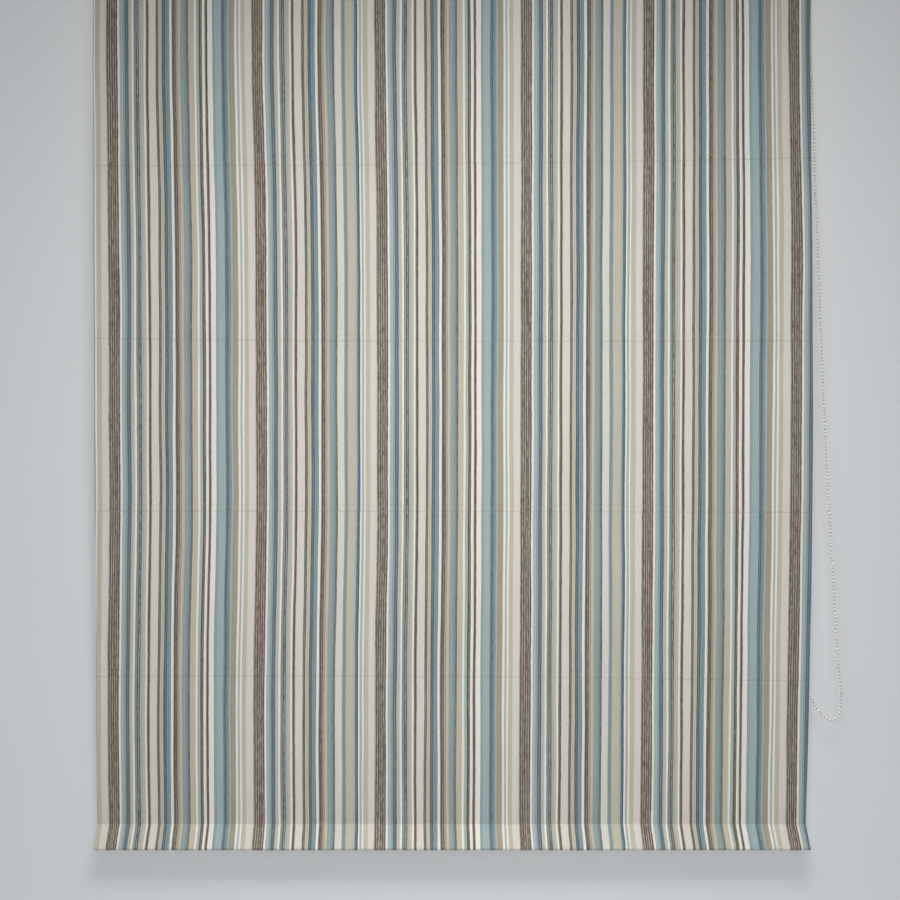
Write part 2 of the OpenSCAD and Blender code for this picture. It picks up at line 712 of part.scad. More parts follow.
module bead_chain() {
    pitch = chain_l / bead_count;
    color("ivory") translate([sprocket_x, axis_y, axis_z]) for (i = [0:bead_count - 1]) {
        d = unit(chain_at((i + 0.5) * pitch) - chain_at(((i - 0.5 + bead_count) % bead_count) * pitch));
        translate(chain_at(i * pitch)) rotate([0, acos(d.z), atan2(d.y, d.x)]) bead();
    }
}

headrail();
hook_tape();
loop_tape();
end_cap_left();
control_housing();
control_cover();
sprocket();
brake_spring();
drive_shaft();
reel(0);  // reel_1
reel(1);  // reel_2
reel(2);  // reel_3
reel_cradle(0);  // reel_cradle_1
reel_cradle(1);  // reel_cradle_2
reel_cradle(2);  // reel_cradle_3
lift_tape(0);  // lift_tape_1
lift_tape(1);  // lift_tape_2
lift_tape(2);  // lift_tape_3
wall_bracket(0);  // wall_bracket_1
wall_bracket(1);  // wall_bracket_2
wall_bracket(2);  // wall_bracket_3
latch(0);  // latch_1
latch(1);  // latch_2
latch(2);  // latch_3
latch_washer(0);  // latch_washer_1
latch_washer(1);  // latch_washer_2
latch_washer(2);  // latch_washer_3
face_fabric();
lining();
for (i = [0:rod_count - 1]) {
    rod(i);
    rod_caps(i);
    tape_guides(i);
}
bottom_bar();
bottom_bar_caps();
tape_anchors();
bead_chain();
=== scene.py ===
"""Looks of a roman blind: striped cloth on five rods, its lining, lift tapes, bead chain and hardware."""

import math

import bpy
import numpy as np
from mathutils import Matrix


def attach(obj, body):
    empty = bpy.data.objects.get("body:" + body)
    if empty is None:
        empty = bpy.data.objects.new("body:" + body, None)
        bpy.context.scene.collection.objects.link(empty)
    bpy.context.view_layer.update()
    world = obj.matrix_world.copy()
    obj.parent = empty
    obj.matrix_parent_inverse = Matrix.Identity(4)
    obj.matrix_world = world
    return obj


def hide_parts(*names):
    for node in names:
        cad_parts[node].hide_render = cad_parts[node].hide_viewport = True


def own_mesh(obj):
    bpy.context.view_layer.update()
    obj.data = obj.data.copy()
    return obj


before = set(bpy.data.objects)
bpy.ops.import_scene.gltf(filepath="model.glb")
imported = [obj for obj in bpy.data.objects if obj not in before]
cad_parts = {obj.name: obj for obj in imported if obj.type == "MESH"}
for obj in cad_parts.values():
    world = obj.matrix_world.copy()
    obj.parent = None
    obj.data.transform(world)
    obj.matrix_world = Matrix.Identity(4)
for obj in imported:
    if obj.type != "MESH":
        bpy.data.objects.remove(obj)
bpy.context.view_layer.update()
scene = bpy.context.scene
MM = 0.001

# Sizes repeated from the part's source, in millimetres
HALF_W = 600
CLOTH_TOP, CLOTH_BOTTOM = 18.6, -1581.4
CLOTH_FRONT = -52.28
LEAN_BACK, LEAN_POWER = 39, 2.3
FACE_T, LINING_T, PLY_GAP = 1.0, 0.6, 0.2
SIDE_HEM, LINING_INSET = 40, 12
BAR_CORE, HEM_OUT_R = 34, 3.2
HEM_ANGLE, BEND_R = math.radians(45), 24
ROD_SPACING = 288
ROD_ZS = [CLOTH_BOTTOM + ROD_SPACING * n for n in (5, 4, 3, 2, 1)]
ROD_DEPTH, POCKET_R, POCKET_OUT_R, POCKET_HALF = 4.6, 2.6, 3.2, 544
TAPE_XS, TAPE_W, TAPE_T, TAPE_DEPTH = (-450, 0, 450), 6, 0.3, 5.5
REEL_HUB_R, WOUND_R = 7.08, 7.68
AXIS_Y, AXIS_Z = -28, -8.4
RAIL_FRONT, GRIP_T, GRIP_HALF, GRIP_TOP, GRIP_H = -48, 1.2, 559.8, 8.6, 25
SPROCKET_X, SPROCKET_R = 592.05, 11 * 6 / (2 * math.pi)
BEAD_R, BEAD_PITCH, CHAIN_CORD_R = 2.25, 6, 0.6
CHAIN_ROUTE = [
    (10, -10, -250), (12.8, -10, -315), (15.2, -10, -390), (24.3, -10, -640), (34.8, -10, -890),
    (46.3, -9, -1090), (51.5, -8, -1180), (54.8, -8, -1230), (58.3, -7, -1275), (61.3, -6, -1299),
    (62.4, -5.5, -1318), (61.4, -5, -1335), (58.3, -4, -1347), (53.6, -3, -1355), (46.4, -2, -1359),
    (38.8, 0, -1356), (31.5, 2, -1349.5), (25.4, 3.5, -1341.5), (20, 5, -1332), (15.3, 6, -1322),
    (11, 7, -1311), (8, 8, -1296), (6.4, 8.5, -1265), (6, 8.5, -1220), (4.5, 14.5, -890),
    (3, 18.2, -440), (2, 18.2, -255),
]

# The cloth is raised to a share of its height between the rail and the hem's bend
HANG_Z, SEAM_Z, RAISED_SHARE = -35, -1521.4, 0.16
DROP = CLOTH_TOP - CLOTH_BOTTOM
LINING_DEPTH = FACE_T + PLY_GAP
LINING_BACK = LINING_DEPTH + LINING_T
TURNED_BACK = LINING_BACK + PLY_GAP + FACE_T
CLOTH_MAP = "flat_cloth"

# Camera of the photograph
CAMERA_AT = (-0.079, -2.692, -0.928)
CAMERA_LENS, CAMERA_SENSOR, CAMERA_SHIFT = 63.24, 36, (0.05, 0.0111)


# Fall of the cloth: lines of (y, z) points down its front


def lean(drop):
    return LEAN_BACK * (np.maximum(drop, 0) / DROP) ** LEAN_POWER


def front_y(z):
    return CLOTH_FRONT + lean(CLOTH_TOP - z)


def lean_angle(z):
    return math.atan(LEAN_POWER * lean(CLOTH_TOP - z) / (CLOTH_TOP - z))


def hem_along(a):
    return np.array([-math.sin(a), -math.cos(a)])


def hem_front(a):
    return np.array([-math.cos(a), math.sin(a)])


def hem_bar():
    """Ends of the bottom bar's pocket, the lean of the cloth above it and where that lean ends."""
    z = (CLOTH_BOTTOM + HEM_OUT_R + BAR_CORE * math.cos(HEM_ANGLE)
         + (HEM_OUT_R + BEND_R) * math.sin(HEM_ANGLE))
    bend_lean = lean_angle(z)
    start = z + BEND_R * math.sin(bend_lean)
    centre = np.array([front_y(start), start]) + BEND_R * hem_front(-bend_lean)
    top = centre - (BEND_R + HEM_OUT_R) * hem_front(HEM_ANGLE)
    return top, top + BAR_CORE * hem_along(HEM_ANGLE), bend_lean, start


BAR_TOP, BAR_BOTTOM, BEND_LEAN, LEAN_END = hem_bar()
PRESSED_R = 3


def pressed_bend():
    """Centre of the pressed bend between the fall of the cloth and the pocket's front."""
    bar_front = BAR_TOP + (HEM_OUT_R + PRESSED_R) * hem_front(HEM_ANGLE)
    fall = np.array([front_y(LEAN_END), LEAN_END]) + PRESSED_R * hem_front(-BEND_LEAN)
    across = hem_front(-BEND_LEAN)
    along = hem_along(HEM_ANGLE)
    return bar_front + along * (fall - bar_front).dot(across) / along.dot(across)


BEND_C = pressed_bend()
BEND_START = (BEND_C - PRESSED_R * hem_front(-BEND_LEAN))[1]


def fall_line(zs):
    zs = np.asarray(zs, float)
    return np.stack([front_y(zs), zs], 1)


def bend_line(a0, a1, steps):
    return np.array([BEND_C - PRESSED_R * hem_front(a) for a in np.linspace(a0, a1, steps)])


def wall_side(line):
    """Unit steps to the wall side of a line that runs down the cloth."""
    t = np.gradient(line, axis=0)
    t /= np.linalg.norm(t, axis=1, keepdims=True)
    return np.stack([-t[:, 1], t[:, 0]], 1)


def run_length(line, start):
    steps = np.linalg.norm(np.diff(line, axis=0), axis=1)
    return start + np.concatenate([[0], np.cumsum(steps)])


# Small shape of the cloth

# Stitch rows above and below each rod: how far above the rod, and how deep
UPPER_ROW, LOWER_ROW = (2.2, 0.14), (-7.2, 0.28)
STITCH_ROWS = [(z + step, depth) for z in ROD_ZS for step, depth in (UPPER_ROW, LOWER_ROW)]
FOLD_ENDS = ROD_ZS + [SEAM_Z]
# Mean depths and their waves along x, each wave (height, length, phase step)
SWELL, SWELL_WAVES, SWELL_REACH, GROOVE_HALF = 0.14, ((0.08, 5.6, 1), (0.06, 13, -2)), 11, 1.7
BELLY, BELLY_WAVES = 1.0, ((0.5, 118, 1.9), (0.4, 61, -1.3))


def waved(mean, waves, x, n):
    return mean + sum(height * np.sin(x / length + step * n) for height, length, step in waves)


def relief(x, z):
    """How far the cloth lies behind its fall: swollen by the stitch rows, bellied between the rods."""
    x, z = np.broadcast_arrays(np.asarray(x, float), np.asarray(z, float))
    behind = np.zeros(z.shape)
    for row, depth in STITCH_ROWS:
        near = np.abs(z - row)
        swell = depth + waved(SWELL, SWELL_WAVES, x, row)
        behind -= swell * np.exp(-near / SWELL_REACH) * (1 - np.exp(-(near / GROOVE_HALF) ** 2))
    for n, (top, foot) in enumerate(zip(FOLD_ENDS[:-1], FOLD_ENDS[1:])):
        share = np.clip((top - z) / (top - foot), 0, 1)
        behind -= waved(BELLY, BELLY_WAVES, x, n) * np.sin(math.pi * share) ** 2
    return behind


def no_relief(x, z):
    return np.zeros(np.broadcast_shapes(x.shape, z.shape))


CLOSE_ROWS = (-5, -3, -1.8, -0.9, 0, 0.9, 1.8, 3, 5)


def panel_rows(z0, z1, step):
    """Heights of the rows of a sheet from z0 down to z1, closer together round the stitch rows."""
    zs = list(np.linspace(z0, z1, max(2, round((z0 - z1) / step) + 1)))
    close = [row + d for row, _ in STITCH_ROWS for d in CLOSE_ROWS if z1 + 1 < row + d < z0 - 1]
    far = [z for z in zs[1:-1] if all(abs(z - c) > 2 for c in close)]
    return sorted([zs[0], zs[-1]] + far + close, reverse=True)


# Hand-sewn seams: how far each lies below its rod's level, as a curve across the cloth
SEAM_CURVES = [(0, 0, 0), (-3.4, -6.8, -3.4), (5.5, 1.8, -3.7), (2.5, 1.2, 0), (-6.8, 4, 3.6)]
# The right side's belly: how far out, between which heights, and from which x on
EDGE_BOW, BOW_TOP, BOW_FOOT, BOW_INNER = 5, -430, -1530, 350
curve = np.polynomial.polynomial.polyval


def seam_drift(x, z):
    """How far the cloth at x and z lies below an even fall, set by its seams and eased between them."""
    ends = [HANG_Z, *ROD_ZS, SEAM_Z]
    drops = [0 * x, *(curve(x / HALF_W, c) for c in SEAM_CURVES), 0 * x]
    drift = 0
    for top, foot, a, b in zip(ends[:-1], ends[1:], drops[:-1], drops[1:]):
        drift = drift + (b - a) * np.clip((top - z) / (top - foot), 0, 1)
    return drift


def edge_bow(x, z):
    """How far the cloth's right side bellies out between the upper seam and the hem."""
    share = np.clip((BOW_TOP - z) / (BOW_TOP - BOW_FOOT), 0, 1)
    side = np.maximum((x - BOW_INNER) / (HALF_W - BOW_INNER), 0) ** 2
    return EDGE_BOW * np.sin(math.pi * share) * side


# The stripes spread towards the cloth's edges, and bow sideways, most above and below its middle
PATTERN_SPREAD = 6.6e-8
BOW_MIDDLE, BOW_STRAIGHT, BOW_REACH = -794, 160, 434
BOW_CURVES = [(-0.2, 2.6, 1.8, -3.8), (-2.4, 10.4, -2.5, -13.8), (-2.4, 8.5, -1.7, -7.2)]


def stripe_bow(x, z):
    """How far the stripes at x and z lie to the right of an even weave."""
    away = np.clip((np.abs(z - BOW_MIDDLE) - BOW_STRAIGHT) / BOW_REACH, 0, 1)
    away = away * away * (3 - 2 * away)
    everywhere, above, below = (curve(x / HALF_W, c) for c in BOW_CURVES)
    return everywhere + away * np.where(z > BOW_MIDDLE, above, below)


def pattern_place(x, z):
    """Place across the woven pattern of the cloth at x and z, in millimetres from its middle."""
    x = x - stripe_bow(x, z)
    s = x.copy()
    for _ in range(4):
        s -= (s * (1 + PATTERN_SPREAD * s * s) - x) / (1 + 3 * PATTERN_SPREAD * s * s)
    return s


# Sheets and tubes as points, faces and flat places


def quads(a, b, c, d):
    return np.stack([a, b, c, d], -1).reshape(-1, 4)


def ring_faces(rings, sides):
    """Faces between rings of points, each ring closed."""
    at = np.arange(rings * sides).reshape(rings, sides)
    nxt = np.roll(at, -1, 1)
    return quads(at[:-1], nxt[:-1], nxt[1:], at[1:])


def repeated(faces, points, count):
    """The faces of one shape with so many points, for a row of such shapes."""
    return (faces[None] + np.arange(count)[:, None, None] * points).reshape(-1, 4)


def circle(sides):
    return np.arange(sides) / sides * 2 * math.pi


def rings_round(centre, side, other, radius, sides):
    """Rings of points round centres, each in the plane of two unit vectors."""
    turns = circle(sides)
    return centre[:, None] + radius * (
        np.cos(turns)[None, :, None] * side[:, None] + np.sin(turns)[None, :, None] * other[:, None])


def sheet_part(outer, inner, flat):
    """A closed sheet between two grids of points, with rows down and columns across."""
    rows, cols = outer.shape[:2]
    at = np.arange(rows * cols).reshape(rows, cols)
    back = at + rows * cols
    faces = np.concatenate([
        quads(at[:-1, :-1], at[1:, :-1], at[1:, 1:], at[:-1, 1:]),
        quads(back[:-1, :-1], back[:-1, 1:], back[1:, 1:], back[1:, :-1]),
        quads(at[0, :-1], at[0, 1:], back[0, 1:], back[0, :-1]),
        quads(at[-1, :-1], back[-1, :-1], back[-1, 1:], at[-1, 1:]),
        quads(at[:-1, 0], back[:-1, 0], back[1:, 0], at[1:, 0]),
        quads(at[:-1, -1], at[1:, -1], back[1:, -1], back[:-1, -1]),
    ])
    points = np.concatenate([outer.reshape(-1, 3), inner.reshape(-1, 3)])
    places = np.tile(flat.reshape(-1, 2), (2, 1))
    return points, faces, places


def tube_part(outer, inner, flat):
    """A tube with a wall between two stacks of rings, closed at its ends."""
    rings, sides = outer.shape[:2]
    at = np.arange(rings * sides).reshape(rings, sides)
    back = at + rings * sides
    nxt, back_nxt = np.roll(at, -1, 1), np.roll(back, -1, 1)
    faces = np.concatenate([
        ring_faces(rings, sides),
        quads(back[:-1], back[1:], back_nxt[1:], back_nxt[:-1]),
        quads(at[0], back[0], back_nxt[0], nxt[0]),
        quads(at[-1], nxt[-1], back_nxt[-1], back[-1]),
    ])
    points = np.concatenate([outer.reshape(-1, 3), inner.reshape(-1, 3)])
    return points, faces, np.tile(flat.reshape(-1, 2), (2, 1))


def sweep(section, line, start, shape=relief, loose=True):
    """A sheet from a section (outer x, depth, inner x, depth, flat x) run down a line; loose ones drift."""
    out_y, out_z = wall_side(line).T[:, :, None]
    y, z = line.T[:, :, None]

    def side(x, depth):
        d = depth[None, :] + shape(x[None, :], z)
        low = seam_drift(x[None, :], z) if loose else 0
        return np.stack(np.broadcast_arrays(
            x[None, :] + (edge_bow(x[None, :], z) if loose else 0),
            y + out_y * d + out_z * low, z + out_z * d - out_y * low), -1)

    outer = side(section[:, 0], section[:, 1])
    across = section[None, :, 4] + outer[:, :, 0] - section[None, :, 0]
    down = run_length(line, start)[:, None]
    flat = np.stack(np.broadcast_arrays(pattern_place(across, z), down), -1)
    return sheet_part(outer, side(section[:, 2], section[:, 3]), flat)


def flat_section(half, near, far, columns):
    x = np.linspace(-half, half, columns)
    return np.stack([x, np.full_like(x, near), x, np.full_like(x, far), x], 1)


FOLD_STEPS, HEM_COLUMNS = 8, 6


def folded_section(columns):
    """The face cloth from one side hem's free edge, round both folds, to the other's."""
    fold_r, inside = TURNED_BACK / 2, TURNED_BACK / 2 - FACE_T
    fold_x = HALF_W - fold_r
    middle = (fold_r + inside) / 2
    half = [(x, 0, x, FACE_T, x) for x in np.linspace(0, fold_x, columns)]
    for a in np.linspace(0, math.pi, FOLD_STEPS)[1:]:
        s, c = math.sin(a), math.cos(a)
        half.append((fold_x + fold_r * s, fold_r - fold_r * c,
                     fold_x + inside * s, fold_r - inside * c, fold_x + middle * a))
    for x in np.linspace(fold_x, HALF_W - SIDE_HEM, HEM_COLUMNS)[1:]:
        half.append((x, TURNED_BACK, x, TURNED_BACK - FACE_T, 2 * fold_x - x + middle * math.pi))
    half = np.array(half)
    return np.concatenate([half[:0:-1] * (-1, 1, -1, 1, -1), half])


SHARP_ANGLE = math.radians(50)


def make_piece(name, parts, finishes):
    """A smooth object from parts (points, faces, flat places), with a finish for each part or for all."""
    mesh = bpy.data.meshes.new(name)
    points, faces, places, slots, first = [], [], [], [], 0
    for n, (p, f, flat) in enumerate(parts):
        points.append(p)
        faces.append(f + first)
        places.append(flat)
        slots += [min(n, len(finishes) - 1)] * len(f)
        first += len(p)
    faces = np.concatenate(faces)
    mesh.from_pydata((np.concatenate(points) * MM).tolist(), [], faces.tolist())
    corners = np.concatenate(places)[faces.ravel()] * MM
    mesh.uv_layers.new(name=CLOTH_MAP).uv.foreach_set("vector", corners.astype(np.float32).ravel())
    for finish in finishes:
        mesh.materials.append(finish)
    mesh.polygons.foreach_set("material_index", slots)
    mesh.polygons.foreach_set("use_smooth", [True] * len(mesh.polygons))
    mesh.set_sharp_from_angle(angle=SHARP_ANGLE)
    mesh.validate()
    made = bpy.data.objects.new(name, mesh)
    scene.collection.objects.link(made)
    return made


# Shader maths


class Wire:
    """One socket of a node tree; an expression on wires adds its Math nodes."""

    def __init__(self, tree, socket):
        self.tree, self.socket = tree, socket

    def math(self, operation, *values):
        return self.tree.node("ShaderNodeMath", {"operation": operation}, dict(enumerate(values)))

    def __add__(self, other):
        return self.math("ADD", self, other)

    def __radd__(self, other):
        return self.math("ADD", other, self)

    def __sub__(self, other):
        return self.math("SUBTRACT", self, other)

    def __rsub__(self, other):
        return self.math("SUBTRACT", other, self)

    def __mul__(self, other):
        return self.math("MULTIPLY", self, other)

    def __rmul__(self, other):
        return self.math("MULTIPLY", other, self)

    def __truediv__(self, other):
        return self.math("DIVIDE", self, other)

    def __rtruediv__(self, other):
        return self.math("DIVIDE", other, self)

    def __mod__(self, other):
        return self.math("FLOORED_MODULO", self, other)

    def __rmod__(self, other):
        return self.math("FLOORED_MODULO", other, self)

    def __gt__(self, other):
        return self.math("GREATER_THAN", self, other)

    def __lt__(self, other):
        return self.math("LESS_THAN", self, other)

    def sine(self):
        return self.math("SINE", self)

    def out(self, name):
        """Another output of the same node."""
        return Wire(self.tree, self.socket.node.outputs[name])


class Tree:
    """A material's or world's nodes."""

    def __init__(self, owner):
        owner.use_nodes = True
        self.owner, self.nodes, self.links = owner, owner.node_tree.nodes, owner.node_tree.links
        self.nodes.clear()

    def node(self, kind, settings=None, sockets=None):
        """Adds a node: its settings first, then its sockets' values or links. Gives its first output."""
        made = self.nodes.new(kind)
        for key, value in (settings or {}).items():
            if key == "stops":
                ramp = made.color_ramp
                ramp.interpolation = "CONSTANT"
                while len(ramp.elements) > 1:
                    ramp.elements.remove(ramp.elements[-1])
                ramp.elements[0].position, ramp.elements[0].color = value[0]
                for place, colour in value[1:]:
                    ramp.elements.new(place).color = colour
            else:
                setattr(made, key, value)
        for key, value in (sockets or {}).items():
            open_inputs = [s for s in made.inputs if s.enabled]
            if isinstance(key, str):
                key = [s.name for s in open_inputs].index(key)
            socket = open_inputs[key]
            if isinstance(value, Wire):
                self.links.new(value.socket, socket)
            else:
                socket.default_value = value
        outputs = [s for s in made.outputs if s.enabled]
        return Wire(self, outputs[0]) if outputs else None

    def blotch(self, x, y, z=0.0, detail=2.0):
        """Soft noise from 0 to 1 at a place whose unit is the size of a blotch."""
        place = self.node("ShaderNodeCombineXYZ", {}, {"X": x, "Y": y, "Z": z})
        return self.node("ShaderNodeTexNoise", {}, {"Vector": place, "Scale": 1.0, "Detail": detail})

    def ripple(self, value, pitch):
        """A sine wave along a value, one wave to each pitch."""
        return (value * (2 * math.pi / pitch)).sine()

    def ease(self, value, low, high):
        """0 below low, 1 above high, and smooth between them."""
        return self.node("ShaderNodeMapRange", {"interpolation_type": "SMOOTHSTEP"},
                         {"Value": value, "From Min": low, "From Max": high})

    def mix(self, share, a, b, blend="MIX"):
        """Two colours mixed."""
        return self.node("ShaderNodeMix", {"data_type": "RGBA", "blend_type": blend},
                         {"Factor": share, "A": a, "B": b})

    def shade(self, colour, light):
        """A colour made darker or lighter by a value near 1."""
        return self.mix(1.0, colour, light, "MULTIPLY")

    def cloth_place(self):
        """Places across and down the flat cloth, in millimetres."""
        place = self.node("ShaderNodeUVMap", {"uv_map": CLOTH_MAP})
        across = self.node("ShaderNodeSeparateXYZ", {}, {"Vector": place})
        return across * 1000, across.out("Y") * 1000

    def object_place(self):
        """Places along X, Y and Z of the object, in millimetres."""
        place = self.node("ShaderNodeTexCoord").out("Object")
        x = self.node("ShaderNodeSeparateXYZ", {}, {"Vector": place})
        return x * 1000, x.out("Y") * 1000, x.out("Z") * 1000

    def raised(self, height, distance, strength=1.0):
        """A normal from a height, where 1 stands distance millimetres above 0."""
        return self.node("ShaderNodeBump", {},
                         {"Height": height, "Strength": strength, "Distance": distance * MM})

    def coated(self, sockets):
        """Ends the tree in a Principled shader with these sockets."""
        shader = self.node("ShaderNodeBsdfPrincipled", {}, sockets)
        self.node("ShaderNodeOutputMaterial", {}, {"Surface": shader})
        return self.owner


def new_finish(name):
    return Tree(bpy.data.materials.new(name))


def rgb(r, g, b, a=1.0):
    """A colour as it is seen, from 0 to 255, as the renderer's own numbers."""
    def linear(c):
        c /= 255
        return c / 12.92 if c <= 0.04045 else ((c + 0.055) / 1.055) ** 2.4
    return linear(r), linear(g), linear(b), a


# Yarns of the stripes: colour, and how strongly their slubs show
YARNS = {
    "white": rgb(229, 226, 217, 0.05), "cream": rgb(214, 210, 201, 0.08), "beige": rgb(194, 186, 166, 0.25),
    "taupe": rgb(166, 156, 138, 0.30), "khaki": rgb(163, 155, 132, 0.30), "mist": rgb(167, 181, 179, 0.20),
    "sea": rgb(158, 177, 177, 0.20), "aqua": rgb(143, 162, 163, 0.25), "teal": rgb(126, 148, 152, 0.30),
    "slate": rgb(95, 115, 127, 0.35), "navy": rgb(87, 107, 119, 0.35), "brown": rgb(115, 103, 92, 1.00),
    "bark": rgb(105, 94, 83, 0.55), "ash": rgb(106, 102, 93, 0.45),
}
# Stripes from left to right, with their widths in millimetres
SHARED_BAND = [
    ("brown", 18.5), ("white", 3.5), ("mist", 5), ("aqua", 3.5), ("slate", 6.5), ("beige", 5),
    ("white", 3.5), ("teal", 3.5), ("brown", 5), ("mist", 4), ("beige", 4), ("white", 3.5), ("bark", 4.5),
    ("cream", 12.5), ("ash", 4.5), ("beige", 5.5), ("navy", 5.5), ("teal", 7), ("white", 4.5), ("bark", 6),
    ("taupe", 4), ("beige", 4.5), ("aqua", 6.5), ("teal", 3.5), ("ash", 3.5),
]
LONG_TAIL = [
    ("beige", 8.5), ("white", 3.5), ("mist", 4.5), ("bark", 5), ("white", 4.5), ("bark", 4.5), ("white", 8),
    ("aqua", 4.5), ("sea", 11), ("slate", 5.5), ("teal", 4), ("mist", 2), ("khaki", 9.5), ("white", 3.5),
    ("mist", 3.5), ("white", 3), ("beige", 7), ("cream", 11.5),
]
SHORT_TAIL = [
    ("cream", 11), ("teal", 6), ("beige", 12), ("mist", 3.5), ("navy", 5), ("white", 2.5), ("mist", 4),
    ("white", 2.5), ("beige", 8), ("cream", 10.7),
]
# Length of the repeat, place of its first wide brown, step to its second, and width of what both share
REPEAT, FIRST_BROWN, SECOND_BROWN, BAND_W = 440.5, -125.4, 239.5, 135.8


def stripe_stops(stripes):
    """Ramp stops of a run of stripes, spread over 0 to 1."""
    total = sum(w for _, w in stripes)
    starts = np.cumsum([0] + [w for _, w in stripes[:-1]]) / total
    return [(float(at), YARNS[yarn]) for at, (yarn, _) in zip(starts, stripes)]


def striped_yarn(t, place):
    """Colour and slub strength of the stripes at a place across the pattern, and its place in its band."""
    place = (place - FIRST_BROWN) % REPEAT
    second = place > SECOND_BROWN
    place = place - SECOND_BROWN * second
    tail = place > BAND_W
    past = place - BAND_W

    def run(stripes, share):
        return t.node("ShaderNodeValToRGB", {"stops": stripe_stops(stripes)}, {"Fac": share})

    band = run(SHARED_BAND, place / BAND_W)
    long = run(LONG_TAIL, past / (SECOND_BROWN - BAND_W))
    short = run(SHORT_TAIL, past / (REPEAT - SECOND_BROWN - BAND_W))
    colour = t.mix(tail, band, t.mix(second, long, short))
    slub = [w.out("Alpha") for w in (band, long, short)]
    tail_slub = slub[1] + (slub[2] - slub[1]) * second
    return colour, slub[0] + (tail_slub - slub[0]) * tail, place


PALE_YARN_PITCH, PALE_YARN, THREAD_PITCH = 3.6, rgb(206, 197, 184), 0.85
STRIPE_DRIFT, STRIPE_FRAY = 3.2, 0.9
CREASE_DROP, CREASE_HALF = CLOTH_TOP - ROD_ZS[0] - LOWER_ROW[0], 1.1
LAST_CREASE = CLOTH_TOP - ROD_ZS[-1] + ROD_SPACING / 2
# Painted shade in the crease under each rod: how dark it is at the cloth's middle, and its gain with the
# square of the distance from there
CREASE_SHADE_MIDDLE, CREASE_SHADE_GAIN = 0.09, 2.5e-7


def crease_shade_mask(t, down):
    """Mask of the painted shade: 1 in the thin crease under each rod and 0 on the rest of the cloth."""
    past = (down - (CREASE_DROP - ROD_SPACING / 2)) % ROD_SPACING - ROD_SPACING / 2
    return t.ease(past * past, CREASE_HALF ** 2, 0.0) * (down < LAST_CREASE)


def striped_cloth():
    t = new_finish("face_cloth")
    across, down = t.cloth_place()
    drift = t.blotch(across / 30, down / 190, detail=1.0) - 0.5
    fray = t.blotch(across / 2.2, down / 14) - 0.5
    colour, slub, place = striped_yarn(t, across + drift * STRIPE_DRIFT + fray * STRIPE_FRAY)
    yarn = t.blotch(across / 1.0, down / 150, 7.0) - 0.5
    weft = t.blotch(across / 6, down / 1.7, 3.0) - 0.5
    fleck = t.blotch(across / 1.3, down / 1.9, 5.0) - 0.5
    patch = t.blotch(across / 160, down / 220, 11.0) - 0.5
    lines = t.ripple(place, PALE_YARN_PITCH) * 0.7 + yarn * 2.2 + fleck * 1.4 + fray * 2.2
    pale = t.ease(lines, 0.05, 0.8) * slub
    deep = t.ease(lines, 0.0, -0.7) * slub
    colour = t.mix(pale * 0.6, colour, PALE_YARN)
    weave = t.ripple(across, THREAD_PITCH) * t.ripple(down, THREAD_PITCH)
    uneven = 1.0 + yarn * 0.16 + weft * 0.12 + fleck * 0.2 + patch * 0.06 + weave * 0.08
    light = (1.0 - deep * 0.27) * uneven
    # Painted shade: each crease under a rod is darkened in the colour, more towards the cloth's sides
    crease = crease_shade_mask(t, down) * (CREASE_SHADE_MIDDLE + across * across * CREASE_SHADE_GAIN)
    height = weave * 0.5 + yarn * 0.8 + weft * 0.4
    return t.coated({
        "Base Color": t.shade(colour, light * (1.0 - crease)), "Roughness": 0.86,
        "Specular IOR Level": 0.25, "Sheen Weight": 0.12, "Sheen Roughness": 0.5,
        "Normal": t.raised(height, 0.12, 0.6)})


def lining_cloth():
    t = new_finish("lining_cloth")
    across, down = t.cloth_place()
    yarn = t.blotch(across / 0.9, down / 30, 2.0)
    weft = t.blotch(across / 18, down / 0.9, 5.0)
    patch = t.blotch(across / 120, down / 150, 9.0)
    twill = t.ripple(across + down, 1.1)
    light = (0.94 + yarn * 0.06) * (0.95 + weft * 0.08) * (0.96 + patch * 0.08)
    return t.coated({
        "Base Color": t.shade(rgb(232, 226, 212), light), "Roughness": 0.84, "Specular IOR Level": 0.25,
        "Sheen Weight": 0.1, "Normal": t.raised(twill * 0.4 + yarn + weft, 0.1, 0.6)})


def sewing_thread(name, colour):
    t = new_finish(name)
    x, y, z = t.object_place()
    twist = t.ripple(x + z * 2.0, 0.55)
    patch = t.blotch(x / 40, z / 40, y)
    return t.coated({
        "Base Color": t.shade(colour, 0.88 + patch * 0.24), "Roughness": 0.62,
        "Sheen Weight": 0.1, "Normal": t.raised(twist, 0.06, 0.6)})


def web_tape():
    t = new_finish("web_tape")
    across, down = t.cloth_place()
    zigzag = t.ripple(across + ((down / 2.4) % 1.0 > 0.5) * 0.6, 1.2)
    rib = t.ripple(down, 0.8)
    patch = t.blotch(across / 6, down / 25, 1.0)
    return t.coated({
        "Base Color": t.shade(rgb(232, 231, 226), 0.92 + patch * 0.12), "Roughness": 0.58,
        "Sheen Weight": 0.15, "Normal": t.raised(zigzag * rib, 0.08, 0.7)})


def grip_tape():
    t = new_finish("grip_tape")
    x, y, z = t.object_place()
    pile = t.blotch(x / 0.7, z / 0.7, y / 0.7, detail=4.0)
    row = t.ripple(z, 1.6)
    return t.coated({
        "Base Color": t.shade(rgb(226, 224, 217), 0.84 + pile * 0.3), "Roughness": 0.9,
        "Sheen Weight": 0.3, "Normal": t.raised(pile * 1.6 + row * 0.2, 0.4, 0.8)})


